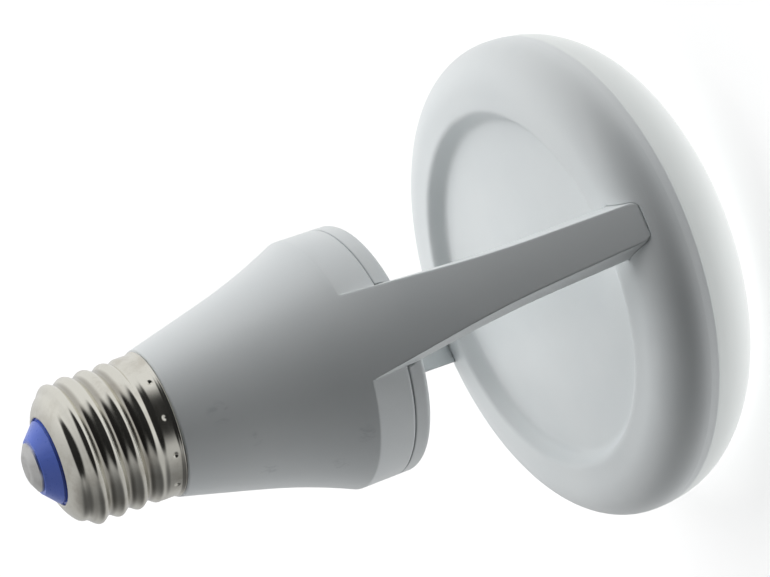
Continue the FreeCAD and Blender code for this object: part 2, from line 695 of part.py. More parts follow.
def head_back_shell(arm_space):
    """The head's back: recess, flat ring, rounded shoulder, arm sockets and screw bosses."""
    wall = S.shell_wall
    slope_shift = wall / 2
    outside = [
        (S.head_radius, BACK, S.shoulder_radius),
        (RECESS_RADIUS, BACK, S.recess_round),
        (RECESS_FLOOR_RADIUS, RECESS_FLOOR, S.recess_round),
        (ZERO, RECESS_FLOOR),
    ]
    skin = revolved("head_skin", [
        (S.head_radius, S.lens_seam_height),
        *outside,
        (ZERO, SHELL_INSIDE),
        (RECESS_FLOOR_RADIUS + slope_shift, SHELL_INSIDE),
        (RECESS_RADIUS + slope_shift, BACK - wall),
        (S.head_radius - wall, BACK - wall, S.shoulder_radius - wall),
        (S.head_radius - wall, S.lens_seam_height),
    ])
    filled = revolved("head_filled", [
        (S.head_radius, S.lens_seam_height),
        *outside,
        (ZERO, S.lens_seam_height),
    ])
    low = ARM_SEAT - S.socket_floor
    inner = (SEAT_RADIUS - S.arm_thickness - S.fit_clearance - S.socket_margin
             - FLARE_SLOPE * S.arm_seat_depth)
    half = S.arm_end_width + S.arm_end_draft + S.fit_clearance + S.socket_margin
    blocks = [
        box(f"socket_{side}", sign * (inner + S.head_radius) / 2, ZERO, low,
            S.head_radius - inner, half * 2, BACK - low)
        for side, sign in (("near", as_size(1)), ("far", as_size(-1)))
    ]
    sockets = [common(f"{block.Name}_trimmed", filled, block) for block in blocks]
    boss_rise = SHELL_INSIDE + wall / 2 - SPREADER_TOP
    bosses = screws("boss", SPREADER_TOP, boss_rise, S.boss_radius)
    pilot = screws("pilot", SPREADER_TOP, boss_rise, S.screw_radius + S.fit_clearance / 4)
    carried = fused("head_carried", [skin, *sockets, *bosses])
    return cut("head_back_shell", carried, [*arm_space, *lead_channels_through(low), *pilot])


def lead_channels_through(low):
    """The holes in the sockets' floors that the leads pass through."""
    drift = FLARE_SLOPE * S.socket_floor
    middle = SEAT_RADIUS - S.arm_thickness / 2 + drift / 2
    return [
        box(f"socket_hole_{side}", sign * middle, ZERO, low,
            S.channel_depth + drift, S.channel_width, S.socket_floor + S.fit_clearance)
        for side, sign in (("near", as_size(1)), ("far", as_size(-1)))
    ]


def lens():
    """The translucent front, wrapping round the head's edge, with a lip inside the back shell."""
    rim, wall = S.head_radius - S.seam_step, S.lens_wall
    lip_top = S.lens_seam_height + S.lens_lip_height
    edge_turn = as_size(90) - arc_tangent(S.lens_edge_height / S.front_fall)
    reach = tangent(edge_turn / 2)
    edge_round = (S.lens_seam_height - S.lens_rim_height - S.lens_edge_height) / reach
    return revolved("lens", [
        (ZERO, ZERO),
        (rim - S.front_fall, ZERO, S.front_round),
        (rim, S.lens_edge_height, edge_round),
        (rim, S.lens_seam_height),
        (LIP_RADIUS, S.lens_seam_height),
        (LIP_RADIUS, lip_top),
        (LIP_INSIDE, lip_top),
        (LIP_INSIDE, S.lens_seam_height - wall),
        (rim - wall, S.lens_seam_height - wall),
        (rim - wall, S.lens_edge_height + wall, edge_round - wall * 2 / reach),
        (rim - wall - S.front_fall, wall, S.front_round - wall),
        (ZERO, wall),
    ])


def drilled_disc(name, radius, height, thickness, screw_hole):
    """A round plate on the lamp's axis with holes for the screws and the two leads."""
    disc = cylinder(f"{name}_disc", radius, thickness, z=height)
    holes = screws(f"{name}_screw_hole", height, thickness, screw_hole)
    return cut(name, disc, [*holes, *lead_holes(f"{name}_lead_hole", height, thickness)])


def led_rings():
    """Radius and count of each ring of LEDs, from the outer one in to the leads' holes."""
    nearest = S.lead_hole_place + S.lead_radius + S.fit_clearance + S.led_length
    radius = OUTER_RING
    while radius.number > nearest.number:
        yield radius, as_size(int(2 * math.pi * radius.number / S.led_spacing.number))
        radius = radius - S.led_ring_pitch


def leds():
    """LED packages in rings on the board's lit face."""
    packages = []
    low = BOARD_FACE - S.led_height
    for ring, (radius, count) in enumerate(led_rings()):
        for i, x, y, turn in ring_places(radius, count):
            across = S.led_width / 2 * sine(turn) - S.led_length / 2 * cosine(turn)
            along = -S.led_length / 2 * sine(turn) - S.led_width / 2 * cosine(turn)
            packages.append(solid("Box", f"led_{ring}_{i}", x + across, y + along, low,
                                  "z", turn, Length=S.led_length, Width=S.led_width,
                                  Height=S.led_height))
    return together("leds", packages)


def head_screws():
    """Screws that hold the LED board and the spreader to the back shell's bosses."""
    shanks = screws("shank", BOARD_FACE, S.screw_length, S.screw_radius)
    low = BOARD_FACE - S.screw_head_height
    heads = screws("screw_head", low, S.screw_head_height, S.screw_head_radius)
    return together("head_screws", [fused(f"head_screw_{i}", pair)
                                    for i, pair in enumerate(zip(heads, shanks))])


def smooth(low, high, at):
    """Goes evenly from 0 at low to 1 at high."""
    share = min(max((at - low) / (high - low), 0.0), 1.0)
    return share * share * (3 - 2 * share)


def shell_rows():
    """The screw shell's half section: radius, height, outward direction and share of thread."""
    skirt = (S.thread_radius - S.skirt_relief).number
    bead, bead_height = S.rim_bead.number, S.rim_bead_height.number
    height, end_round = S.shell_height.number, S.shell_end_round.number
    start, end, runout = S.thread_start.number, S.thread_end.number, S.thread_runout.number
    step = S.thread_pitch.number / ROWS_PER_TURN
    rows = [(skirt + bead * out, bead_height * up, 1.0, 0.0, 0.0) for up, out in RIM_SECTION]
    bend_start = height - end_round
    count = math.ceil((bend_start - start) / step)
    for i in range(count + 1):
        at = start + (bend_start - start) * i / count
        share = smooth(start, start + runout, at) * (1 - smooth(end - runout, end, at))
        rows.append((skirt, at, 1.0, 0.0, share))
    end_middle = skirt - S.thread_depth.number / 2 - end_round
    last = math.acos(max((SHELL_END_HOLE.number - end_middle) / end_round, -1.0))
    for i in range(1, END_ROWS + 1):
        angle = last * i / END_ROWS
        at = bend_start + end_round * math.sin(angle)
        share = 1 - smooth(end - runout, end, at)
        middle = end_middle + S.thread_depth.number / 2 * (1 - smooth(0, last, angle))
        rows.append((middle + end_round * math.cos(angle), at, math.cos(angle), math.sin(angle), share))
    return rows


def pole_reach(count):
    """How much further out than the curve the poles of a smooth closed curve lie."""
    return 3 / (2 + math.cos(2 * math.pi / count))


def shell_face(rows, inwards):
    """A smooth face through the rows, with the thread's wave, moved inwards along the section."""
    depth, pitch = S.thread_depth.number, S.thread_pitch.number
    crest = S.skirt_relief.number
    swing = depth / 2 * pole_reach(ROWS_PER_TURN)
    poles = []
    for k in range(COLUMNS):
        turn = 2 * math.pi * k / COLUMNS
        column = []
        for radius, height, out, up, share in rows:
            wave = math.cos(2 * math.pi * (height / pitch - k / COLUMNS))
            shift = share * (crest - depth / 2 + swing * wave) - inwards
            across = (radius + out * shift) * pole_reach(COLUMNS)
            z = NECK.number + height + up * shift
            column.append(FreeCAD.Vector(across * math.cos(turn), across * math.sin(turn), z))
        poles.append(column)
    knots_round = list(range(COLUMNS + 1))
    spans = len(rows) - 3
    face = Part.BSplineSurface()
    face.buildFromPolesMultsKnots(
        poles, [1] * (COLUMNS + 1), [4] + [1] * (spans - 1) + [4],
        knots_round, list(range(spans + 1)), True, False, 3, 3)
    return face.toShape()


def end_loop(face, highest):
    """The face's closed edge at its upper or lower end."""
    loops = [edge for edge in face.Edges if edge.BoundBox.ZLength < 1e-4]
    pick = max if highest else min
    return pick(loops, key=lambda edge: edge.BoundBox.ZMin)


def screw_shell():
    """Nickel-plated shell: rolled sheet with the thread's wave on both of its sides."""
    rows = shell_rows()
    outside = shell_face(rows, 0.0)
    inside = shell_face(rows, S.shell_sheet.number)
    faces = [outside, inside]
    for highest in (False, True):
        loops = [end_loop(face, highest) for face in (outside, inside)]
        faces.append(Part.makeRuledSurface(*loops))
    sewn = Part.makeShell(faces)
    sewn.sewShape()
    shell = Part.makeSolid(Part.Shell(sewn.Faces))
    if shell.Volume < 0:
        shell.reverse()
    thing = doc.addObject("Part::Feature", "screw_shell")
    thing.Shape = shell
    return thing


def base_insulator():
    """The insulator in the shell's closed end."""
    inside = SHELL_TOP - S.shell_sheet - S.fit_clearance
    bore = S.stem_radius + S.fit_clearance / 2
    edge = SHELL_END_HOLE - S.shell_sheet - S.fit_clearance
    foot_radius = SHELL_END_HOLE + S.insulator_flange
    return revolved("base_insulator", [
        (bore, inside - S.insulator_foot),
        (foot_radius, inside - S.insulator_foot),
        (foot_radius, inside),
        (edge, inside),
        (edge, SHELL_TOP + S.insulator_edge),
        (INSULATOR_TOP_RADIUS, CONTACT_FOOT),
        (bore, CONTACT_FOOT),
    ])


def centre_contact():
    """The domed contact, riveted through the insulator by its hollow stem."""
    stem_end = CONTACT_FOOT - S.stem_length
    top = CONTACT_FOOT + S.contact_height
    return revolved("centre_contact", [
        (ZERO, CONTACT_FOOT),
        (S.stem_bore, CONTACT_FOOT),
        (S.stem_bore, stem_end),
        (S.stem_radius, stem_end),
        (S.stem_radius, CONTACT_FOOT),
        (CONTACT_RADIUS, CONTACT_FOOT),
        (CONTACT_RADIUS, CONTACT_FOOT + S.contact_rim),
        (CONTACT_RADIUS - S.contact_slope, top, S.contact_round),
        (ZERO, top),
    ])


def driver_board():
    """The driver's circuit board, narrowing in steps towards the neck."""
    foot, shoulder = CREASE + S.driver_foot_rise, NECK - S.driver_shoulder
    steps = ((DRIVER_FOOT_WIDTH, CAP_INSIDE, foot), (DRIVER_MIDDLE_WIDTH, foot, shoulder),
             (NECK_BORE - S.driver_neck_gap, shoulder, DRIVER_TOP))
    right = [(half, up) for half, bottom, top in steps for up in (bottom, top)]
    left = [(-half, height) for half, height in reversed(right)]
    return padded("driver_board", "YZ_Plane", right + left, S.driver_thickness, both_ways=True)


def on_board(name, side, depth, width, length, height, along=ZERO):
    """A box that lies on the driver board's face, on the side given by 1 or -1."""
    across = as_size(side) * (DRIVER_FACE + depth / 2)
    return box(name, across, along, CAP_INSIDE + height, depth, width, length)


def transformer():
    """Core, bobbin and winding of the transformer, its middle line upright."""
    x = DRIVER_FACE + S.core_standoff + S.core_depth / 2
    middle = CAP_INSIDE + S.transformer_place
    low = middle - S.core_height / 2
    window_width = S.core_width - S.core_leg * 2
    window_height = S.core_height - S.core_leg * 2
    window_low = low + S.core_leg
    ring = cut("core_ring", box("core_block", x, ZERO, low, S.core_depth, S.core_width, S.core_height),
               [box("core_window", x, ZERO, window_low, S.core_depth, window_width, window_height)])
    leg = cylinder("core_centre", S.core_centre_radius, S.core_height, x, ZERO, low)
    core = fused("transformer_core", [ring, leg])

    tube_inside = S.core_centre_radius + S.fit_clearance
    tube_outside = tube_inside + S.bobbin_wall
    tube_low = window_low + S.fit_clearance
    tube_length = window_height - S.fit_clearance * 2
    flange_high = tube_low + tube_length - S.bobbin_wall
    tube = cylinder("bobbin_tube", tube_outside, tube_length, x, ZERO, tube_low)
    flanges, feet = [], []
    for end, height in (("low", tube_low), ("high", flange_high)):
        flanges.append(cylinder(f"bobbin_flange_{end}", S.bobbin_flange_radius, S.bobbin_wall,
                                x, ZERO, height))
        reach = x - S.bobbin_foot_end - DRIVER_FACE
        feet.append(box(f"bobbin_foot_{end}", DRIVER_FACE + reach / 2, ZERO, height,
                        reach, S.bobbin_flange_radius, S.bobbin_wall))
    bore = cylinder("bobbin_bore", tube_inside, tube_length, x, ZERO, tube_low)
    bobbin = cut("transformer_bobbin", fused("bobbin_form", [tube, *flanges, *feet]), [bore])

    coil_inside = tube_outside + S.fit_clearance / 2
    coil_low = tube_low + S.bobbin_wall + S.fit_clearance / 2
    coil_length = tube_length - S.bobbin_wall * 2 - S.fit_clearance
    coil = cut("transformer_winding",
               cylinder("coil_form", coil_inside + S.winding_depth, coil_length, x, ZERO, coil_low),
               [cylinder("coil_bore", coil_inside, coil_length, x, ZERO, coil_low)])
    return [core, bobbin, coil]


def standing_can(name, radius, length, height, along):
    """A capacitor can whose side lies against the driver board."""
    can = cylinder(f"{name}_can", radius, length, DRIVER_FACE + radius, along, CAP_INSIDE + height)
    rounded = doc.addObject("Part::Fillet", name)
    rounded.Base = can
    edge = S.can_edge_round.number
    rounded.Edges = [(1, edge, edge), (3, edge, edge)]
    return rounded


def driver_parts():
    """What stands on the driver board, apart from the transformer."""
    choke = solid("Torus", "common_choke", DRIVER_FACE + S.choke_section, S.choke_side,
                  CAP_INSIDE + S.choke_place, "y", as_size(90),
                  Radius1=S.choke_ring, Radius2=S.choke_section)
    fuse = cylinder("fuse_resistor", S.fuse_radius, S.fuse_length, DRIVER_FACE + S.fuse_radius,
                    S.fuse_side, CAP_INSIDE + S.fuse_place)
    return [
        choke,
        fuse,
        standing_can("input_capacitor", S.mains_can_radius, S.mains_can_length,
                     S.mains_can_place, -S.mains_can_side),
        standing_can("output_capacitor", S.can_radius, S.can_length, S.can_place, -S.can_side),
        on_board("film_capacitor", 1, S.film_depth, S.film_width, S.film_length, S.film_place,
                 S.film_side + S.film_width / 2),
        on_board("bridge_rectifier", -1, S.rectifier_height, S.rectifier_width, S.rectifier_length,
                 S.rectifier_place),
        on_board("driver_chip", -1, S.chip_height, S.chip_width, S.chip_length, S.chip_place),
        on_board("output_diode", -1, S.diode_height, S.diode_width, S.diode_length, S.diode_place),
    ]


def output_lead(name, mirrored):
    """From the driver board out through the collar, down an arm and in to the LED board."""
    start = CAP_INSIDE + S.lead_joint_place
    turn = CREASE + S.lead_turn_rise
    rise = COLLAR_INSIDE - S.lead_rise_gap
    run = (SPREADER_TOP + SHELL_INSIDE) / 2
    half = S.arm_thickness / 2
    return lead(name, [
        (DRIVER_FACE, start),
        (rise, start, S.lead_bend),
        (rise, turn, S.lead_bend),
        (flare_radius(turn) - half, turn, S.lead_bend),
        (flare_radius(run) - half, run, S.lead_seat_bend),
        (S.lead_hole_place, run, S.lead_bend),
        (S.lead_hole_place, BOARD_FACE),
    ], S.lead_radius, mirrored)


def mains_leads():
    """The live lead from the centre contact and the other lead from the screw shell."""
    beside = DRIVER_FACE + S.mains_lead_radius
    top = DRIVER_TOP
    joint = top - S.mains_joint_place
    live = lead("live_lead", [
        (ZERO, CONTACT_FOOT),
        (ZERO, top + S.live_bend_height + beside, S.mains_lead_bend),
        (beside, top + S.live_bend_height, S.mains_lead_bend),
        (beside, joint),
    ], S.mains_lead_radius)
    other = lead("shell_lead", [
        (-beside, joint),
        (-beside, top + S.shell_bend_height, S.mains_lead_bend),
        (-SHELL_CORE, top + S.shell_bend_height),
    ], S.mains_lead_radius)
    return [live, other]


# Poles of the screw shell's smooth faces: round it, to one turn of thread, and on its rounded end
COLUMNS = 24
ROWS_PER_TURN = 8
END_ROWS = 7

# Section of the shell's rolled rim: share of its height, share of how far it stands out
RIM_SECTION = ((0, 0.3), (0.12, 0.9), (0.45, 1.0), (0.8, 0.8), (1.05, 0.1), (1.5, 0))

arm_space = arm_pair("arm_space", S.fit_clearance, [
    (SEAT_RADIUS + S.arm_thickness, ARM_SEAT),
    (S.collar_radius + S.arm_thickness, CREASE),
])
pieces = [
    housing(),
    housing_cap(arm_space),
    head_back_shell(arm_space),
    lens(),
    drilled_disc("heat_spreader", SPREADER_RADIUS, BOARD_BACK, S.spreader_thickness,
                 S.screw_radius + S.fit_clearance),
    drilled_disc("led_board", BOARD_RADIUS, BOARD_FACE, S.board_thickness,
                 S.screw_radius + S.fit_clearance),
    leds(),
    head_screws(),
    screw_shell(),
    base_insulator(),
    centre_contact(),
    driver_board(),
    *transformer(),
    *driver_parts(),
    output_lead("output_lead_plus", False),
    output_lead("output_lead_minus", True),
    *mains_leads(),
]
doc.recompute()

broken = [thing.Name for thing in doc.Objects
          if {"Invalid", "Error"} & set(thing.State)]
assert not broken, f"not built: {broken}"
for piece in pieces:
    assert not piece.Shape.isNull() and piece.Shape.isValid(), f"bad shape: {piece.Label}"

os.makedirs("parts", exist_ok=True)
for piece in pieces:
    piece.Shape.exportStep(f"parts/{piece.Label}.step")
    print(f"{piece.Label}: {len(piece.Shape.Solids)} solids, {piece.Shape.Volume:.1f} mm3")
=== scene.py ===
"""Looks of an LED flood lamp: white moulded arms and cone, nickel screw shell, opal disc head."""
import json
import math

import bmesh
import bpy
from mathutils import Matrix, Vector


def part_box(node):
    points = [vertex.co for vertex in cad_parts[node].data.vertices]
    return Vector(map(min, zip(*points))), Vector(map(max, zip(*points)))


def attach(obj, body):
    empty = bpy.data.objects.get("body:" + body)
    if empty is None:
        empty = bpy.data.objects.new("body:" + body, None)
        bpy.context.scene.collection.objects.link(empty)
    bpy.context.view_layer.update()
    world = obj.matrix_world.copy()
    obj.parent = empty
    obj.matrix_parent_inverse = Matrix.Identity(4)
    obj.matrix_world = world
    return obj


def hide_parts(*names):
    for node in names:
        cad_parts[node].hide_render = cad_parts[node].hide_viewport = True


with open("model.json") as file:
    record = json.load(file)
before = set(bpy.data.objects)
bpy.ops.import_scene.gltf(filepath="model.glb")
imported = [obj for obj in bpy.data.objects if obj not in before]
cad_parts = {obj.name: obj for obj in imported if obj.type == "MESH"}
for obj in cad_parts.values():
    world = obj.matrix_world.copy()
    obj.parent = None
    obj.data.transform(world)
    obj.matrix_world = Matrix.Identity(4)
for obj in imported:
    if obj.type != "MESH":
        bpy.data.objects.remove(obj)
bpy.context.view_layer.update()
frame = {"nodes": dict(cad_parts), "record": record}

bl_info = {
    "name": "LED flood lamp",
    "version": (1, 0, 0),
    "blender": (4, 5, 0),
    "location": "3D View > Sidebar > Lamp",
    "description": "Finishes the pieces of an LED flood lamp and sets its studio",
    "category": "Object",
}

MM = 0.001
BODY = "root"
SHELL_LOW, SHELL_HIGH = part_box("screw_shell")
CAP_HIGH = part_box("housing_cap")[1]

# How finely the screw shell is divided: round it, up its rim and round its closed end
COLUMNS = 360
RIM_STEPS = 12
END_STEPS = 24

# Shares of the rim's height at which it stands out fully and begins to fall back to the skirt, the
# power of its curve, and the share of the closed end's turn over which its slope sets in
RIM_FULL = 0.3
RIM_FALL = 0.32
RIM_CURVE = 0.6
SLOPE_FULL = 0.4

BEVEL_SAMPLES = 8

# The painted shade along the seam between cap and collar: its width, and how far out of the cap it still
# reaches
SEAM_SHADE_WIDTH = 0.5 * MM
SEAM_SHADE_REACH = 0.1 * MM

# Scuffs on the cone: size and strength of the marks, then each patch's middle and radius in millimetres
SCUFF_SIZE = 1.5 * MM
SCUFF_AMOUNT = 0.22
SCUFFS = (
    ((15.0, -3.5, 94.8), 2.6),
    ((8.2, -15.1, 87.8), 2.0),
    ((13.6, -9.6, 90.0), 1.8),
    ((9.6, -18.9, 75.5), 2.4),
    ((16.3, -15.7, 72.0), 2.6),
)

# Lights: name, setting of the strength, how far to the picture's right, to its top and towards the
# camera, and spread in degrees
LIGHTS = (
    ("key_light", "key", -0.86, 0.50, 0.0, 70),
    ("low_light", "low", -0.72, -0.58, -0.35, 70),
    ("front_light", "front", 0.96, -0.20, -0.27, 56),
    ("side_light", "side", 0.85, 0.53, -0.15, 56),
    ("top_light", "top", 0.50, 0.86, -0.10, 60),
    ("under_light", "under", 0.15, -0.93, 0.35, 60),
)

# The room that metal mirrors: dark where the camera stands, dim below and bright above. Each row
# has the cosines between which the room changes and its brightness at both
ROOM_DARK = (0.45, 0.72, 1.0, 0.03)
ROOM_LOW = (-1.0, -0.55, 0.12, 0.62)
ROOM_HIGH = (-0.5, 0.4, 1.0, 1.65)

# How far above the camera's side the dark part lies, and the strength of the floor's own light
ROOM_DARK_RISE = 0.18
FLOOR_GLOW = 0.45


class Tree:
    """Adds nodes to a node tree, with values or other nodes' sockets on their inputs."""

    def __init__(self, tree):
        self.tree = tree

    def put(self, socket, value):
        """Sets an input to a value, or links another node's socket to it."""
        if isinstance(value, bpy.types.NodeSocket):
            self.tree.links.new(value, socket)
        else:
            socket.default_value = value

    def node(self, kind, inputs=None, **settings):
        made = self.tree.nodes.new(kind)
        for name, value in settings.items():
            setattr(made, name, value)
        for name, value in (inputs or {}).items():
            self.put(made.inputs[name], value)
        return made

    def place(self):
        """A point's place on the lamp."""
        return self.node("ShaderNodeTexCoord").outputs["Object"]

    def level(self, vector):
        """The share of a vector that lies across the lamp's axis."""
        return self.vector("MULTIPLY", vector, (1.0, 1.0, 0.0))

    def from_axis(self, place):
        """A place's distance from the lamp's axis."""
        return self.vector("LENGTH", self.level(place))

    def noise(self, place, size, detail, **inputs):
        """Clouds of about a size."""
        values = {"Vector": place, "Scale": self.math("DIVIDE", 1.0, size), "Detail": detail, **inputs}
        return self.node("ShaderNodeTexNoise", values).outputs["Fac"]

    def swing(self, base, noise, middle, spread):
        """A base value that a noise moves up and down about its middle, by a spread."""
        away = self.math("MULTIPLY", self.math("SUBTRACT", noise, middle), 2.0)
        return self.math("ADD", base, self.math("MULTIPLY", away, spread))

    def math(self, operation, *values):
        """One sum on numbers or sockets."""
        return self.node("ShaderNodeMath", dict(enumerate(values)), operation=operation).outputs[0]

    def vector(self, operation, *values):
        made = self.node("ShaderNodeVectorMath", dict(enumerate(values)), operation=operation)
        return made.outputs["Value" if operation in ("LENGTH", "DOT_PRODUCT") else "Vector"]

    def ramp(self, value, low, high, to_low=0.0, to_high=1.0):
        """Maps a value between two limits on to two others, smoothly."""
        inputs = {"Value": value, "From Min": low, "From Max": high, "To Min": to_low, "To Max": to_high}
        return self.node("ShaderNodeMapRange", inputs, interpolation_type="SMOOTHSTEP").outputs["Result"]

    def mix(self, share, first, second):
        """Mixes two colours."""
        made = self.node("ShaderNodeMix", data_type="RGBA")
        colours = [socket for socket in made.inputs if socket.type == "RGBA"]
        for socket, value in zip([made.inputs[0], *colours], (share, first, second)):
            self.put(socket, value)
        return next(socket for socket in made.outputs if socket.type == "RGBA")

    def group(self, group, **inputs):
        made = self.node("ShaderNodeGroup", node_tree=group)
        for name, value in inputs.items():
            self.put(made.inputs[name.replace("_", " ")], value)
        return made.outputs


def new_group(name, kind, inputs, outputs):
    """A node group with named sockets; returns its tree, its inputs and its output node."""
    group = bpy.data.node_groups.new(name, kind)
    for label, socket, default in inputs:
        made = group.interface.new_socket(label, in_out="INPUT", socket_type=socket)
        if default is not None:
            made.default_value = default
    for label, socket in outputs:
        group.interface.new_socket(label, in_out="OUTPUT", socket_type=socket)
    tree = Tree(group)
    return tree, tree.node("NodeGroupInput").outputs, tree.node("NodeGroupOutput")


def shared(build):
    """A function's node group, which is built the first time it is asked for."""
    return bpy.data.node_groups.get(build.__name__) or build(build.__name__)


def moulded_grain(name):
    """Fine texture of a moulded surface, with faint clouds of lighter and darker plastic."""
    tree, given, out = new_group(name, "ShaderNodeTree", [
        ("Colour", "NodeSocketColor", (0.8, 0.8, 0.8, 1.0)),
        ("Shade", "NodeSocketColor", (0.7, 0.7, 0.7, 1.0)),
        ("Grain Size", "NodeSocketFloat", 0.35 * MM),
        ("Cloud Size", "NodeSocketFloat", 18 * MM),
        ("Roughness", "NodeSocketFloat", 0.4),
        ("Roughness Spread", "NodeSocketFloat", 0.06),
    ], [("Colour", "NodeSocketColor"), ("Roughness", "NodeSocketFloat"), ("Height", "NodeSocketFloat")])
    place = tree.place()
    fine = tree.noise(place, given["Grain Size"], 2.0)
    share = tree.ramp(tree.noise(place, given["Cloud Size"], 4.0), 0.35, 0.7)
    rough = tree.swing(given["Roughness"], fine, 0.5, given["Roughness Spread"])
    tree.put(out.inputs["Colour"], tree.mix(share, given["Colour"], given["Shade"]))
    tree.put(out.inputs["Roughness"], rough)
    tree.put(out.inputs["Height"], fine)
    return tree.tree


def seam_line(name):
    """A mask that is 1 along a height on the lamp, such as where two mouldings meet."""
    tree, given, out = new_group(name, "ShaderNodeTree", [
        ("Height", "NodeSocketFloat", 0.0),
        ("Width", "NodeSocketFloat", 0.3 * MM),
        ("Radius", "NodeSocketFloat", 50 * MM),
    ], [("Mask", "NodeSocketFloat")])
    place = tree.place()
    height = tree.node("ShaderNodeSeparateXYZ", {0: place}).outputs["Z"]
    away = tree.math("ABSOLUTE", tree.math("SUBTRACT", height, given["Height"]))
    half = tree.math("MULTIPLY", given["Width"], 0.5)
    inside = tree.math("LESS_THAN", tree.from_axis(place), given["Radius"])
    mask = tree.math("MULTIPLY", tree.ramp(away, half, 0.0), inside)
    tree.put(out.inputs["Mask"], mask)
    return tree.tree


def turned_normal(name):
    """Points a normal straight away from the lamp's axis where it nearly is, as on a turned surface."""
    tree, given, out = new_group(name, "ShaderNodeTree", [
        ("Normal", "NodeSocketVector", (0.0, 0.0, 1.0)),
        ("Limit", "NodeSocketFloat", 0.985),
    ], [("Normal", "NodeSocketVector")])
    place = tree.place()
    outward = tree.vector("NORMALIZE", tree.level(place))
    level = tree.level(given["Normal"])
    near = tree.math("GREATER_THAN",
                     tree.vector("DOT_PRODUCT", tree.vector("NORMALIZE", level), outward), given["Limit"])
    straight = tree.vector("MULTIPLY", outward, tree.vector("LENGTH", level))
    change = tree.vector("MULTIPLY", tree.vector("SUBTRACT", straight, level), near)
    tree.put(out.inputs["Normal"], tree.vector("ADD", given["Normal"], change))
    return tree.tree


def scuffs(name):
    """A mask of a few short scuffs inside a round patch of the surface."""
    tree, given, out = new_group(name, "ShaderNodeTree", [
        ("Centre", "NodeSocketVector", (0.0, 0.0, 0.0)),
        ("Radius", "NodeSocketFloat", 10 * MM),
        ("Size", "NodeSocketFloat", 2 * MM),
        ("Amount", "NodeSocketFloat", 0.5),
    ], [("Mask", "NodeSocketFloat")])
    place = tree.place()
    away = tree.vector("LENGTH", tree.vector("SUBTRACT", place, given["Centre"]))
    near = tree.ramp(tree.math("DIVIDE", away, given["Radius"]), 1.0, 0.5)
    stretched = tree.vector("MULTIPLY", place, (1.0, 1.0, 0.6))
    marks = tree.ramp(tree.noise(stretched, given["Size"], 3.0, Roughness=0.6, Distortion=0.4), 0.48, 0.66)
    mask = tree.math("MULTIPLY", tree.math("MULTIPLY", marks, near), given["Amount"])
    tree.put(out.inputs["Mask"], mask)
    return tree.tree


def worn_metal(name):
    """Streaks and smears of handled plated metal."""
    tree, given, out = new_group(name, "ShaderNodeTree", [
        ("Colour", "NodeSocketColor", (0.7, 0.7, 0.7, 1.0)),
        ("Stain", "NodeSocketColor", (0.4, 0.35, 0.3, 1.0)),
        ("Stain Share", "NodeSocketFloat", 0.3),
        ("Roughness", "NodeSocketFloat", 0.2),
        ("Roughness Spread", "NodeSocketFloat", 0.1),
        ("Size", "NodeSocketFloat", 4 * MM),
    ], [("Colour", "NodeSocketColor"), ("Roughness", "NodeSocketFloat"), ("Height", "NodeSocketFloat")])
    place = tree.place()
    clouds = tree.noise(place, given["Size"], 5.0, Roughness=0.6)
    streaks = tree.noise(tree.vector("MULTIPLY", place, (1.0, 1.0, 9.0)), given["Size"], 3.0)
    share = tree.math("MULTIPLY", tree.ramp(clouds, 0.45, 0.75), given["Stain Share"])
    both = tree.math("ADD", tree.math("MULTIPLY", clouds, 0.5), tree.math("MULTIPLY", streaks, 0.5))
    rough = tree.swing(given["Roughness"], both, 0.45, given["Roughness Spread"])
    tree.put(out.inputs["Colour"], tree.mix(share, given["Colour"], given["Stain"]))
    tree.put(out.inputs["Roughness"], rough)
    tree.put(out.inputs["Height"], streaks)
    return tree.tree


def new_material(name, roughness=0.4, metallic=0.0, **sockets):
    """A material with its Principled shader; the sockets' names have underscores for blanks."""
    material = bpy.data.materials.new(name)
    material.use_nodes = True
    shader = material.node_tree.nodes["Principled BSDF"]
    shader.inputs["Roughness"].default_value = roughness
    shader.inputs["Metallic"].default_value = metallic
    for label, value in sockets.items():
        shader.inputs[label.replace("_", " ")].default_value = value
    return material, Tree(material.node_tree), shader


def feed(tree, shader, colour, roughness, height, depth, strength, soft=0.0, reach=1.0):
    """Puts colour, roughness and a bump on a material's shader; edges within reach are softened."""
    tree.put(shader.inputs["Base Color"], colour)
    tree.put(shader.inputs["Roughness"], roughness)
    bump = tree.node("ShaderNodeBump", {"Height": height, "Distance": depth, "Strength": strength})
    tree.put(shader.inputs["Normal"], bump.outputs["Normal"])
    if soft:
        inside = tree.math("LESS_THAN", tree.from_axis(tree.place()), reach)
        bevel = tree.node("ShaderNodeBevel", {"Radius": tree.math("MULTIPLY", inside, soft)},
                          samples=BEVEL_SAMPLES)
        turned = tree.group(shared(turned_normal), Normal=bevel.outputs["Normal"])
        tree.put(bump.inputs["Normal"], turned["Normal"])


def assign(node, material):
    """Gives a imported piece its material."""
    slots = frame["nodes"][node].data.materials
    slots.clear()
    slots.append(material)


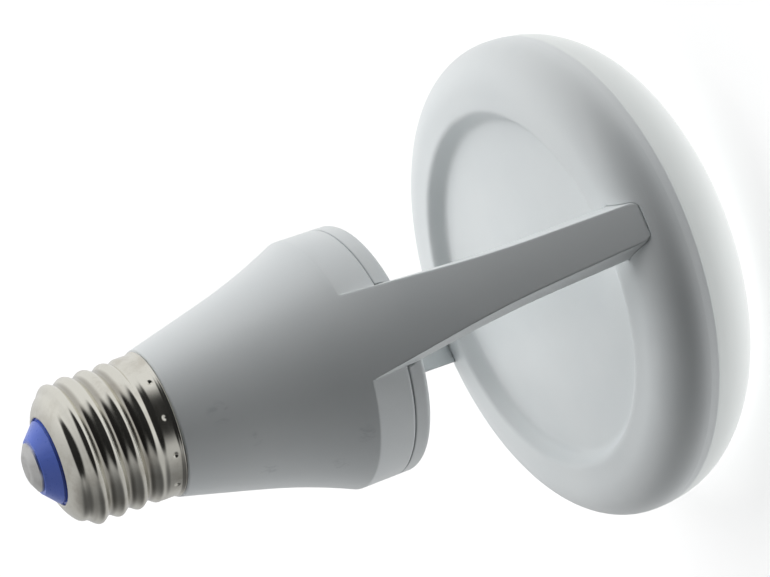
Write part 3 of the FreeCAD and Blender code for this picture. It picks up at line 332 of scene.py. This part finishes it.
class WhiteMouldingSettings(bpy.types.PropertyGroup):
    colour: bpy.props.FloatVectorProperty(
        name="Colour", description="Colour of the white plastic", subtype="COLOR",
        size=4, min=0, max=1, default=(0.84, 0.872, 0.878, 1.0))
    shade: bpy.props.FloatVectorProperty(
        name="Shade", description="Colour of its faint darker clouds", subtype="COLOR",
        size=4, min=0, max=1, default=(0.81, 0.845, 0.855, 1.0))
    # Painted shade: the colour laid along the seam between cap and collar, in place of the shade in its
    # groove
    seam_colour: bpy.props.FloatVectorProperty(
        name="Seam", description="Colour deep in the seams", subtype="COLOR",
        size=4, min=0, max=1, default=(0.52, 0.55, 0.57, 1.0))
    scuff_colour: bpy.props.FloatVectorProperty(
        name="Scuffs", description="Colour of the scuffs on the cone", subtype="COLOR",
        size=4, min=0, max=1, default=(0.42, 0.45, 0.47, 1.0))
    roughness: bpy.props.FloatProperty(
        name="Roughness", description="How dull the plastic is", min=0, max=1, default=0.34)
    soft_edge: bpy.props.FloatProperty(
        name="Soft edge", description="Softening of the edges of the head's recess", unit="LENGTH",
        default=1.6 * MM)
    soft_reach: bpy.props.FloatProperty(
        name="Soft reach", description="Radius inside which the head's edges are soft", unit="LENGTH",
        default=41 * MM)
    crisp_edge: bpy.props.FloatProperty(
        name="Crisp edge", description="Softening of the edges of the cone and arms", unit="LENGTH",
        default=0.6 * MM)
    cap_lip: bpy.props.FloatProperty(
        name="Cap lip", description="Height of the cap's lip above its seam", unit="LENGTH",
        default=3 * MM)


class LensSettings(bpy.types.PropertyGroup):
    colour: bpy.props.FloatVectorProperty(
        name="Colour", description="Colour of the opal front", subtype="COLOR",
        size=4, min=0, max=1, default=(0.56, 0.575, 0.572, 1.0))
    roughness: bpy.props.FloatProperty(
        name="Roughness", description="How dull the front is", min=0, max=1, default=0.30)
    depth: bpy.props.FloatProperty(
        name="Depth", description="How far light spreads inside the front", unit="LENGTH",
        min=0, default=6 * MM)
    # Painted glow: a steady emission on the lens in place of light passed on through the opal front, the
    # same under any light
    glow: bpy.props.FloatProperty(
        name="Glow", description="Light that the opal front passes on from its lit face", min=0,
        default=0.25)
    glow_colour: bpy.props.FloatVectorProperty(
        name="Glow colour", description="Colour of that light", subtype="COLOR",
        size=4, min=0, max=1, default=(0.95, 1.0, 0.985, 1.0))


class ScrewShellSettings(bpy.types.PropertyGroup):
    skirt_radius: bpy.props.FloatProperty(
        name="Skirt radius", description="Radius of the plain skirt", unit="LENGTH", default=13.05 * MM)
    thread_depth: bpy.props.FloatProperty(
        name="Thread depth", description="Depth of the rolled thread", unit="LENGTH", default=0.92 * MM)
    thread_pitch: bpy.props.FloatProperty(
        name="Pitch", description="Height of one turn", unit="LENGTH", default=3.629 * MM)
    thread_start: bpy.props.FloatProperty(
        name="Start", description="Height of the plain skirt", unit="LENGTH", default=3.2 * MM)
    thread_end: bpy.props.FloatProperty(
        name="End", description="Height at which the thread has run out", unit="LENGTH",
        default=18.6 * MM)
    runout: bpy.props.FloatProperty(
        name="Run-out", description="Height over which the thread fades", unit="LENGTH",
        default=1.7 * MM)
    thread_turn: bpy.props.FloatProperty(
        name="Thread turn", description="Turn of the thread about the lamp's axis", subtype="ANGLE",
        default=math.radians(216))
    end_round: bpy.props.FloatProperty(
        name="End rounding", description="Rounding of the closed end", unit="LENGTH", default=4.7 * MM)
    end_slope: bpy.props.FloatProperty(
        name="End slope", description="How far the closed end is flattened to a slope", min=0, max=1,
        default=0.32)
    hole_radius: bpy.props.FloatProperty(
        name="End hole", description="Radius of the hole in the closed end", unit="LENGTH",
        default=8.0 * MM)
    sheet: bpy.props.FloatProperty(
        name="Sheet", description="Thickness of the sheet", unit="LENGTH", default=0.42 * MM)
    bead: bpy.props.FloatProperty(
        name="Rim bead", description="How far the rolled rim stands out", unit="LENGTH",
        default=0.3 * MM)
    bead_height: bpy.props.FloatProperty(
        name="Bead height", description="Height of the rolled rim", unit="LENGTH", default=0.9 * MM)
    stakes: bpy.props.IntProperty(
        name="Stake marks", description="Punched marks round the skirt", min=0, default=12)
    stake_radius: bpy.props.FloatProperty(
        name="Mark radius", description="Radius of a mark", unit="LENGTH", default=0.55 * MM)
    stake_depth: bpy.props.FloatProperty(
        name="Mark depth", description="Depth of a mark", unit="LENGTH", default=0.38 * MM)
    stake_height: bpy.props.FloatProperty(
        name="Mark height", description="Height of the marks above the rim", unit="LENGTH",
        default=1.8 * MM)
    stake_turn: bpy.props.FloatProperty(
        name="First mark", description="Angle of the first mark", subtype="ANGLE",
        default=math.radians(-4))
    colour: bpy.props.FloatVectorProperty(
        name="Colour", description="Colour of the nickel plating", subtype="COLOR",
        size=4, min=0, max=1, default=(0.80, 0.785, 0.715, 1.0))
    stain: bpy.props.FloatVectorProperty(
        name="Stain", description="Colour of the stains on the plating", subtype="COLOR",
        size=4, min=0, max=1, default=(0.42, 0.37, 0.30, 1.0))
    # The colour towards which the thread's valleys are darkened below the closed end, and how far
    dirt: bpy.props.FloatVectorProperty(
        name="Dirt", description="Colour of the dirt in the thread's valleys", subtype="COLOR",
        size=4, min=0, max=1, default=(0.20, 0.18, 0.15, 1.0))
    dirt_share: bpy.props.FloatProperty(
        name="Dirt share", description="How thick that dirt lies", min=0, max=1, default=0.55)
    roughness: bpy.props.FloatProperty(
        name="Roughness", description="How dull the plating is", min=0, max=1, default=0.16)


class BaseEndSettings(bpy.types.PropertyGroup):
    blue: bpy.props.FloatVectorProperty(
        name="Blue", description="Colour of the insulator", subtype="COLOR",
        size=4, min=0, max=1, default=(0.110, 0.194, 0.75, 1.0))
    blue_shade: bpy.props.FloatVectorProperty(
        name="Blue shade", description="Colour of its faint darker clouds", subtype="COLOR",
        size=4, min=0, max=1, default=(0.099, 0.178, 0.69, 1.0))
    tin: bpy.props.FloatVectorProperty(
        name="Contact", description="Colour of the contact's metal", subtype="COLOR",
        size=4, min=0, max=1, default=(0.72, 0.72, 0.71, 1.0))
    tin_stain: bpy.props.FloatVectorProperty(
        name="Contact stain", description="Colour of the stains on the contact", subtype="COLOR",
        size=4, min=0, max=1, default=(0.45, 0.43, 0.40, 1.0))


class StageSettings(bpy.types.PropertyGroup):
    camera_place: bpy.props.FloatVectorProperty(
        name="Camera", description="Where the camera stands", subtype="TRANSLATION", unit="LENGTH",
        default=(0.337126, -0.033650, 0.201899))
    aim: bpy.props.FloatVectorProperty(
        name="Aim", description="A point on the camera's middle line", subtype="TRANSLATION",
        unit="LENGTH", default=(0.001159, 0.009104, 0.051330))
    roll: bpy.props.FloatProperty(
        name="Roll", description="Turn of the camera about its own middle line", subtype="ANGLE",
        default=math.radians(109.129))
    focal_length: bpy.props.FloatProperty(
        name="Focal length", description="Focal length in millimetres on a 36 mm frame", default=93.5)
    key: bpy.props.FloatProperty(
        name="Key light", description="Strength of the light from the picture's upper left", default=2.24)
    low: bpy.props.FloatProperty(
        name="Low light", description="Strength of the light from the picture's lower left", default=1.52)
    front: bpy.props.FloatProperty(
        name="Front light", description="Strength of the light on the lens's side", default=2.55)
    side: bpy.props.FloatProperty(
        name="Side light", description="Strength of the light from the picture's upper right", default=0.90)
    top: bpy.props.FloatProperty(
        name="Top light", description="Strength of the light from the picture's top", default=1.05)
    under: bpy.props.FloatProperty(
        name="Under light", description="Strength of the light from the picture's bottom", default=0.10)
    fill: bpy.props.FloatProperty(
        name="Surroundings", description="Brightness of the surroundings", default=0.045)
    floor_size: bpy.props.FloatProperty(
        name="Floor", description="Side of the floor", unit="LENGTH", default=6.0)


def shell_section(s):
    """Closed half section of the shell, from the rim up the outside and down again inside."""
    low, high = SHELL_LOW.z, SHELL_HIGH.z
    bend = high - s.end_round
    outside = []
    for i in range(RIM_STEPS + 1):
        share = i / RIM_STEPS
        out = math.sin(math.pi / 2 * min(share / RIM_FULL, 1.0)) ** RIM_CURVE
        fall = min(max((share - RIM_FALL) / (1.0 - RIM_FALL), 0.0), 1.0)
        outside.append((s.skirt_radius + s.bead * out * (1.0 - fall * fall * (3.0 - 2.0 * fall)),
                        low + s.bead_height * share))
    step = s.stake_radius / 3
    start = low + s.bead_height
    count = round((bend - start) / step)
    outside += [(s.skirt_radius, start + (bend - start) * i / count) for i in range(1, count + 1)]
    top_radius = s.skirt_radius - s.thread_depth / 2 - s.end_round
    last = math.acos(min((s.hole_radius - top_radius) / s.end_round, 1.0))
    for i in range(1, END_STEPS + 1):
        share = i / END_STEPS
        angle = last * share
        eased = 0.5 + 0.5 * math.cos(math.pi * share)
        lean = s.end_slope * min(share / SLOPE_FULL, 1.0) ** 2
        across = math.cos(angle) * (1.0 - lean) + (1.0 + (math.cos(last) - 1.0) * share) * lean
        along = math.sin(angle) * (1.0 - lean) + math.sin(last) * share * lean
        outside.append((top_radius + s.thread_depth / 2 * eased + s.end_round * across,
                        bend + s.end_round * along))
    inside = []
    for i, (radius, height) in enumerate(outside):
        before = outside[max(i - 1, 0)]
        after = outside[min(i + 1, len(outside) - 1)]
        along = Vector((after[0] - before[0], after[1] - before[1])).normalized()
        inside.append((radius - along.y * s.sheet, height + along.x * s.sheet))
    inside[0] = (s.skirt_radius - s.sheet, low)
    return outside + inside[::-1]


def spun(name, section):
    """A closed mesh turned about the lamp's axis from points of radius and height."""
    mesh = bmesh.new()
    rings = []
    for radius, height in section:
        ring = []
        for k in range(COLUMNS):
            turn = 2 * math.pi * k / COLUMNS
            ring.append(mesh.verts.new((radius * math.cos(turn), radius * math.sin(turn), height)))
        rings.append(ring)
    for low, high in zip(rings, rings[1:] + rings[:1]):
        for k in range(COLUMNS):
            after = (k + 1) % COLUMNS
            mesh.faces.new((low[k], low[after], high[after], high[k]))
    bmesh.ops.recalc_face_normals(mesh, faces=mesh.faces)
    for face in mesh.faces:
        face.smooth = True
    data = bpy.data.meshes.new(name)
    mesh.to_mesh(data)
    mesh.free()
    piece = bpy.data.objects.new(name, data)
    bpy.context.scene.collection.objects.link(piece)
    return piece


def rolled_thread(name):
    """Rolls a thread and punches stake marks into a plain shell, on both sides of its sheet."""
    tree, given, out = new_group(name, "GeometryNodeTree", [
        ("Geometry", "NodeSocketGeometry", None),
        ("Rim Height", "NodeSocketFloat", 0.0),
        ("Depth", "NodeSocketFloat", 0.8 * MM),
        ("Pitch", "NodeSocketFloat", 3.6 * MM),
        ("Start", "NodeSocketFloat", 3 * MM),
        ("End", "NodeSocketFloat", 17 * MM),
        ("Run-out", "NodeSocketFloat", 1 * MM),
        ("Turn", "NodeSocketFloat", 0.0),
        ("Marks", "NodeSocketFloat", 12.0),
        ("First Mark", "NodeSocketFloat", 0.0),
        ("Mark Height", "NodeSocketFloat", 2 * MM),
        ("Mark Radius", "NodeSocketFloat", 0.5 * MM),
        ("Mark Depth", "NodeSocketFloat", 0.3 * MM),
        ("Material", "NodeSocketMaterial", None),
    ], [("Geometry", "NodeSocketGeometry")])
    place = tree.node("GeometryNodeInputPosition").outputs["Position"]
    parts = tree.node("ShaderNodeSeparateXYZ", {0: place}).outputs
    radius = tree.from_axis(place)
    outward = tree.vector("NORMALIZE", tree.level(place))
    turn = tree.math("ARCTAN2", parts["Y"], parts["X"])
    height = tree.math("SUBTRACT", parts["Z"], given["Rim Height"])

    turns = tree.math("SUBTRACT", tree.math("DIVIDE", height, given["Pitch"]),
                      tree.math("DIVIDE", turn, 2 * math.pi))
    wave = tree.math("COSINE", tree.math("ADD", tree.math("MULTIPLY", turns, 2 * math.pi),
                                         given["Turn"]))
    level = tree.math("MULTIPLY", tree.math("SUBTRACT", wave, 1.0),
                      tree.math("MULTIPLY", given["Depth"], 0.5))
    fade_in = tree.ramp(height, given["Start"], tree.math("ADD", given["Start"], given["Run-out"]))
    fade_out = tree.ramp(height, given["End"], tree.math("SUBTRACT", given["End"], given["Run-out"]))
    thread = tree.math("MULTIPLY", level, tree.math("MULTIPLY", fade_in, fade_out))

    spacing = tree.math("DIVIDE", 2 * math.pi, given["Marks"])
    from_mark = tree.math("SUBTRACT", tree.math("SUBTRACT", turn, given["First Mark"]),
                          tree.math("MULTIPLY", spacing, 0.5))
    wrapped = tree.math("SUBTRACT", tree.math("WRAP", from_mark, spacing, 0.0),
                        tree.math("MULTIPLY", spacing, 0.5))
    across = tree.math("MULTIPLY", wrapped, radius)
    along = tree.math("SUBTRACT", height, given["Mark Height"])
    away = tree.math("SQRT", tree.math("ADD", tree.math("MULTIPLY", across, across),
                                       tree.math("MULTIPLY", along, along)))
    pressed = tree.ramp(away, given["Mark Radius"], 0.0)
    mark = tree.math("MULTIPLY", pressed, given["Mark Depth"])

    shift = tree.vector("SCALE", outward)
    scale = shift.node.inputs["Scale"]
    tree.put(scale, tree.math("SUBTRACT", thread, mark))
    moved = tree.node("GeometryNodeSetPosition", {"Geometry": given["Geometry"], "Offset": shift})
    real = tree.node("GeometryNodeRealizeInstances", {"Geometry": moved.outputs["Geometry"]})
    dressed = tree.node("GeometryNodeSetMaterial", {
        "Geometry": real.outputs["Geometry"], "Material": given["Material"]})
    tree.put(out.inputs["Geometry"], dressed.outputs["Geometry"])
    return tree.tree


def apply_nodes(piece, group, inputs):
    """Runs a geometry node tree on a piece and keeps its result as a plain mesh."""
    modifier = piece.modifiers.new(group.name, "NODES")
    modifier.node_group = group
    for item in group.interface.items_tree:
        if item.in_out == "INPUT" and item.name in inputs:
            modifier[item.identifier] = inputs[item.name]
    bpy.context.view_layer.update()
    ready = piece.evaluated_get(bpy.context.evaluated_depsgraph_get())
    mesh = bpy.data.meshes.new_from_object(ready)
    piece.modifiers.clear()
    piece.data = mesh


def nickel_material(s):
    """Bright nickel plating, darker in the thread's valleys, with handling marks."""
    material, tree, shader = new_material("nickel_plating", metallic=1.0)
    metal = tree.group(shared(worn_metal), Colour=s.colour, Stain=s.stain,
                       Stain_Share=0.35, Roughness=s.roughness, Roughness_Spread=0.10, Size=5 * MM)
    place = tree.place()
    radius = tree.from_axis(place)
    # Darker in the thread's valleys, below the closed end
    valley = tree.ramp(radius, s.skirt_radius - s.thread_depth * 0.55,
                       s.skirt_radius - s.thread_depth * 1.02)
    height = tree.node("ShaderNodeSeparateXYZ", {0: place}).outputs["Z"]
    below_end = tree.ramp(height, SHELL_HIGH.z - s.end_round * 0.6, SHELL_HIGH.z - s.end_round)
    dirt = tree.math("MULTIPLY", tree.math("MULTIPLY", valley, below_end), s.dirt_share)
    colour = tree.mix(dirt, metal["Colour"], s.dirt)
    feed(tree, shader, colour, metal["Roughness"], metal["Height"], 0.01 * MM, 0.35)
    return material


class LAMP_OT_screw_shell(bpy.types.Operator):
    """Screw shell: a plain spun shell with its thread rolled and its stake marks punched in"""
    bl_idname = "lamp.screw_shell"
    bl_label = "Screw shell"

    def execute(self, context):
        s = context.scene.lamp_screw_shell
        piece = spun("nickel_screw_shell", shell_section(s))
        apply_nodes(piece, shared(rolled_thread), {
            "Rim Height": SHELL_LOW.z, "Depth": s.thread_depth, "Pitch": s.thread_pitch,
            "Start": s.thread_start, "End": s.thread_end, "Run-out": s.runout,
            "Turn": s.thread_turn,
            "Marks": float(s.stakes), "First Mark": s.stake_turn, "Mark Height": s.stake_height,
            "Mark Radius": s.stake_radius, "Mark Depth": s.stake_depth,
            "Material": nickel_material(s)})
        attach(piece, BODY)
        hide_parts("screw_shell")
        return {"FINISHED"}


class LAMP_OT_base_end(bpy.types.Operator):
    """Blue insulator and the centre contact in it"""
    bl_idname = "lamp.base_end"
    bl_label = "Insulator and contact"

    def execute(self, context):
        s = context.scene.lamp_base_end
        blue, tree, shader = new_material("blue_insulator", roughness=0.3, Coat_Weight=0.25,
                                          Coat_Roughness=0.15)
        grain = tree.group(shared(moulded_grain), Colour=s.blue, Shade=s.blue_shade,
                           Grain_Size=0.5 * MM, Cloud_Size=5 * MM, Roughness=0.3,
                           Roughness_Spread=0.08)
        feed(tree, shader, grain["Colour"], grain["Roughness"], grain["Height"], 0.02 * MM, 0.4)
        assign("base_insulator", blue)
        tin, tree, shader = new_material("contact_metal", metallic=1.0)
        metal = tree.group(shared(worn_metal), Colour=s.tin, Stain=s.tin_stain,
                           Stain_Share=0.45, Roughness=0.38, Roughness_Spread=0.18, Size=2.4 * MM)
        feed(tree, shader, metal["Colour"], metal["Roughness"], metal["Height"], 0.05 * MM, 0.5)
        assign("centre_contact", tin)
        return {"FINISHED"}


def white_material(name, s, soft, reach=1.0, seams=(), marks=()):
    """White moulded plastic with painted shade along its seams, and scuffs and soft edges where it has
    them.
    """
    material, tree, shader = new_material(name, roughness=s.roughness, IOR=1.5)
    grain = tree.group(shared(moulded_grain), Colour=s.colour, Shade=s.shade,
                       Grain_Size=0.30 * MM, Cloud_Size=22 * MM, Roughness=s.roughness,
                       Roughness_Spread=0.05)
    colour = grain["Colour"]
    # Painted shade along each seam
    for height, width, radius in seams:
        mask = tree.group(shared(seam_line), Height=height, Width=width,
                          Radius=radius)["Mask"]
        colour = tree.mix(mask, colour, s.seam_colour)
    for place, radius in marks:
        mask = tree.group(shared(scuffs), Centre=Vector(place) * MM, Radius=radius * MM,
                          Size=SCUFF_SIZE, Amount=SCUFF_AMOUNT)["Mask"]
        colour = tree.mix(mask, colour, s.scuff_colour)
    feed(tree, shader, colour, grain["Roughness"], grain["Height"], 0.012 * MM, 0.35, soft, reach)
    return material


class LAMP_OT_white_mouldings(bpy.types.Operator):
    """Cone with its arms, cap and back of the head, in white plastic"""
    bl_idname = "lamp.white_mouldings"
    bl_label = "White mouldings"

    def execute(self, context):
        s = context.scene.lamp_white
        # Where the painted seam shade lies: its height, width and how far out it reaches
        seam = (CAP_HIGH.z - s.cap_lip, SEAM_SHADE_WIDTH, CAP_HIGH.x + SEAM_SHADE_REACH)
        assign("housing", white_material("white_housing", s, s.crisp_edge, seams=[seam], marks=SCUFFS))
        assign("housing_cap", white_material("white_cap", s, s.crisp_edge, seams=[seam]))
        assign("head_back_shell", white_material("white_head", s, s.soft_edge, s.soft_reach))
        return {"FINISHED"}


class LAMP_OT_lens(bpy.types.Operator):
    """Opal front of the head, with a painted glow"""
    bl_idname = "lamp.lens"
    bl_label = "Lens"

    def execute(self, context):
        s = context.scene.lamp_lens
        # The emission is a painted glow: the lens shines by itself, in place of light passed on through the
        # opal front
        material, tree, shader = new_material(
            "opal_lens", roughness=s.roughness, Subsurface_Weight=0.3, Subsurface_Scale=s.depth,
            Subsurface_Radius=(1.0, 1.0, 1.0), Emission_Color=s.glow_colour,
            Emission_Strength=s.glow)
        grain = tree.group(shared(moulded_grain), Colour=s.colour,
                           Shade=tuple(v * 0.97 for v in s.colour[:3]) + (1.0,),
                           Grain_Size=0.6 * MM, Cloud_Size=30 * MM, Roughness=s.roughness,
                           Roughness_Spread=0.04)
        feed(tree, shader, grain["Colour"], grain["Roughness"], grain["Height"], 0.01 * MM, 0.3)
        assign("lens", material)
        return {"FINISHED"}


def plain_finish(name, colour, shade, roughness, metallic):
    """A quiet finish for a piece inside the lamp."""
    material, tree, shader = new_material(name, roughness=roughness, metallic=metallic)
    out = tree.group(shared(moulded_grain), Colour=(*colour, 1.0), Shade=(*shade, 1.0),
                     Grain_Size=0.4 * MM, Cloud_Size=4.8 * MM, Roughness=roughness,
                     Roughness_Spread=0.08)
    feed(tree, shader, out["Colour"], out["Roughness"], out["Height"], 0.01 * MM, 0.4)
    return material


class LAMP_OT_inner_pieces(bpy.types.Operator):
    """Boards, driver parts, screws and leads inside the lamp"""
    bl_idname = "lamp.inner_pieces"
    bl_label = "Inner pieces"

    def execute(self, context):
        finishes = {
            "aluminium_sheet": ((0.62, 0.62, 0.63), (0.52, 0.52, 0.53), 0.38, 1.0),
            "white_board": ((0.82, 0.83, 0.82), (0.76, 0.77, 0.76), 0.35, 0.0),
            "led_phosphor": ((0.85, 0.72, 0.12), (0.75, 0.60, 0.08), 0.25, 0.0),
            "steel_screw": ((0.55, 0.55, 0.56), (0.42, 0.42, 0.43), 0.32, 1.0),
            "board_green": ((0.02, 0.13, 0.05), (0.03, 0.20, 0.08), 0.30, 0.0),
            "ferrite": ((0.03, 0.03, 0.035), (0.05, 0.05, 0.055), 0.55, 0.0),
            "bobbin_plastic": ((0.02, 0.02, 0.02), (0.03, 0.03, 0.03), 0.45, 0.0),
            "winding_tape": ((0.75, 0.55, 0.05), (0.65, 0.45, 0.04), 0.28, 0.0),
            "copper_wire": ((0.60, 0.22, 0.08), (0.45, 0.15, 0.05), 0.30, 1.0),
            "resistor_body": ((0.12, 0.20, 0.15), (0.10, 0.16, 0.12), 0.45, 0.0),
            "can_sleeve": ((0.015, 0.018, 0.03), (0.02, 0.025, 0.04), 0.25, 0.0),
            "film_box": ((0.60, 0.40, 0.04), (0.52, 0.33, 0.03), 0.30, 0.0),
            "chip_black": ((0.015, 0.015, 0.015), (0.03, 0.03, 0.03), 0.45, 0.0),
            "lead_white": ((0.75, 0.75, 0.72), (0.68, 0.68, 0.65), 0.40, 0.0),
            "lead_black": ((0.015, 0.015, 0.015), (0.025, 0.025, 0.025), 0.40, 0.0),
        }
        made = {name: plain_finish(name, *values) for name, values in finishes.items()}
        for part in frame["record"]["subparts"]:
            if part["material_slot"] in made:
                assign(part["node"], made[part["material_slot"]])
        return {"FINISHED"}


def sun(name, direction, strength, spread):
    """A broad soft light from a direction given in the lamp's frame."""
    data = bpy.data.lights.new(name, "SUN")
    data.energy = strength
    data.angle = spread
    lamp = bpy.data.objects.new(name, data)
    lamp.rotation_euler = Vector(direction).to_track_quat("Z", "Y").to_euler()
    lamp.visible_glossy = False
    bpy.context.scene.collection.objects.link(lamp)


class LAMP_OT_stage(bpy.types.Operator):
    """Camera, floor, surroundings and lights"""
    bl_idname = "lamp.stage"
    bl_label = "Stage"

    def execute(self, context):
        s = context.scene.lamp_stage
        turned = self.camera(context, s)
        right, up, back = (turned.to_matrix().col[i] for i in range(3))
        for name, setting, across, upward, nearer, spread in LIGHTS:
            direction = right * across + up * upward + back * nearer
            sun(name, direction, getattr(s, setting), math.radians(spread))
        self.floor(s)
        self.surroundings(context, s, up, back)
        context.scene.view_settings.view_transform = "Standard"
        return {"FINISHED"}

    def camera(self, context, s):
        data = bpy.data.cameras.new("camera")
        data.sensor_width = 36
        data.lens = s.focal_length
        data.clip_start = 0.01
        camera = bpy.data.objects.new("camera", data)
        look = Vector(s.aim) - Vector(s.camera_place)
        turned = look.to_track_quat("-Z", "Y")
        turned = turned @ Matrix.Rotation(-s.roll, 3, "Z").to_quaternion()
        camera.location = s.camera_place
        camera.rotation_euler = turned.to_euler()
        context.scene.collection.objects.link(camera)
        context.scene.camera = camera
        return turned

    def floor(self, s):
        mesh = bpy.data.meshes.new("floor")
        half = s.floor_size / 2
        corners = [(-half, -half, 0), (half, -half, 0), (half, half, 0), (-half, half, 0)]
        mesh.from_pydata(corners, [], [(0, 1, 2, 3)])
        floor = bpy.data.objects.new("floor", mesh)
        bpy.context.scene.collection.objects.link(floor)
        material, tree, shader = new_material("pale_floor", roughness=0.9)
        shader.inputs["Base Color"].default_value = (0.80, 0.80, 0.80, 1.0)
        glow = tree.node("ShaderNodeEmission", {"Strength": FLOOR_GLOW})
        both = tree.node("ShaderNodeAddShader", {0: shader.outputs[0], 1: glow.outputs[0]})
        seen = seen_rays(tree)
        mixed = tree.node("ShaderNodeMixShader", {0: seen, 1: shader.outputs[0], 2: both.outputs[0]})
        tree.put(tree.tree.nodes["Material Output"].inputs["Surface"], mixed.outputs[0])
        mesh.materials.append(material)
        floor.visible_shadow = False
        floor.visible_diffuse = False
        floor.visible_glossy = False

    def surroundings(self, context, s, up, back):
        """White to the camera, light above and dark on its own side for metal, and even for the rest."""
        world = bpy.data.worlds.new("studio")
        world.use_nodes = True
        tree = Tree(world.node_tree)
        background = world.node_tree.nodes["Background"]
        output = world.node_tree.nodes["World Output"]
        background.inputs["Color"].default_value = (0.93, 0.97, 1.0, 1.0)
        background.inputs["Strength"].default_value = s.fill
        direction = tree.node("ShaderNodeTexCoord").outputs["Generated"]
        towards = tree.vector("DOT_PRODUCT", direction, tuple((back + up * ROOM_DARK_RISE).normalized()))
        upwards = tree.vector("DOT_PRODUCT", direction, tuple(up))
        above = tree.math("MULTIPLY", tree.ramp(upwards, *ROOM_LOW), tree.ramp(upwards, *ROOM_HIGH))
        room = tree.math("MULTIPLY", tree.ramp(towards, *ROOM_DARK), above)
        mirrored = tree.node("ShaderNodeBackground", {"Color": (0.8, 0.8, 0.8, 1.0), "Strength": room})
        white = tree.node("ShaderNodeBackground", {"Color": (1.0, 1.0, 1.0, 1.0), "Strength": 1.0})
        rays = tree.node("ShaderNodeLightPath").outputs
        glossy = tree.node("ShaderNodeMixShader", {
            0: tree.math("MAXIMUM", rays["Is Glossy Ray"], rays["Is Transmission Ray"]),
            1: background.outputs[0], 2: mirrored.outputs[0]})
        shown = tree.node("ShaderNodeMixShader", {
            0: rays["Is Camera Ray"], 1: glossy.outputs[0], 2: white.outputs[0]})
        tree.put(output.inputs["Surface"], shown.outputs[0])
        context.scene.world = world


def seen_rays(tree):
    """1 for rays that show a thing as it is: the camera's, and those off metal or through glass."""
    rays = tree.node("ShaderNodeLightPath").outputs
    sharp = tree.math("MAXIMUM", rays["Is Glossy Ray"], rays["Is Transmission Ray"])
    return tree.math("MAXIMUM", sharp, rays["Is Camera Ray"])


class LAMP_PT_panel(bpy.types.Panel):
    bl_label = "LED flood lamp"
    bl_idname = "LAMP_PT_panel"
    bl_space_type = "VIEW_3D"
    bl_region_type = "UI"
    bl_category = "Lamp"

    def draw(self, context):
        for operator in OPERATORS:
            self.layout.operator(operator.bl_idname)
        for settings in SETTINGS:
            box = self.layout.box()
            values = getattr(context.scene, settings)
            for name in values.bl_rna.properties.keys():
                if name not in ("rna_type", "name"):
                    box.prop(values, name)


OPERATORS = (LAMP_OT_white_mouldings, LAMP_OT_lens, LAMP_OT_screw_shell, LAMP_OT_base_end,
             LAMP_OT_inner_pieces, LAMP_OT_stage)
SETTINGS = {
    "lamp_white": WhiteMouldingSettings,
    "lamp_lens": LensSettings,
    "lamp_screw_shell": ScrewShellSettings,
    "lamp_base_end": BaseEndSettings,
    "lamp_stage": StageSettings,
}


def register():
    for group in SETTINGS.values():
        bpy.utils.register_class(group)
    for made in (*OPERATORS, LAMP_PT_panel):
        bpy.utils.register_class(made)
    for name, group in SETTINGS.items():
        setattr(bpy.types.Scene, name, bpy.props.PointerProperty(type=group))


def unregister():
    for name in SETTINGS:
        delattr(bpy.types.Scene, name)
    for made in (LAMP_PT_panel, *OPERATORS, *SETTINGS.values()):
        bpy.utils.unregister_class(made)


def main():
    register()
    for operator in (bpy.ops.lamp.white_mouldings, bpy.ops.lamp.lens, bpy.ops.lamp.screw_shell,
                     bpy.ops.lamp.base_end, bpy.ops.lamp.inner_pieces, bpy.ops.lamp.stage):
        operator()


if __name__ == "__main__":
    main()
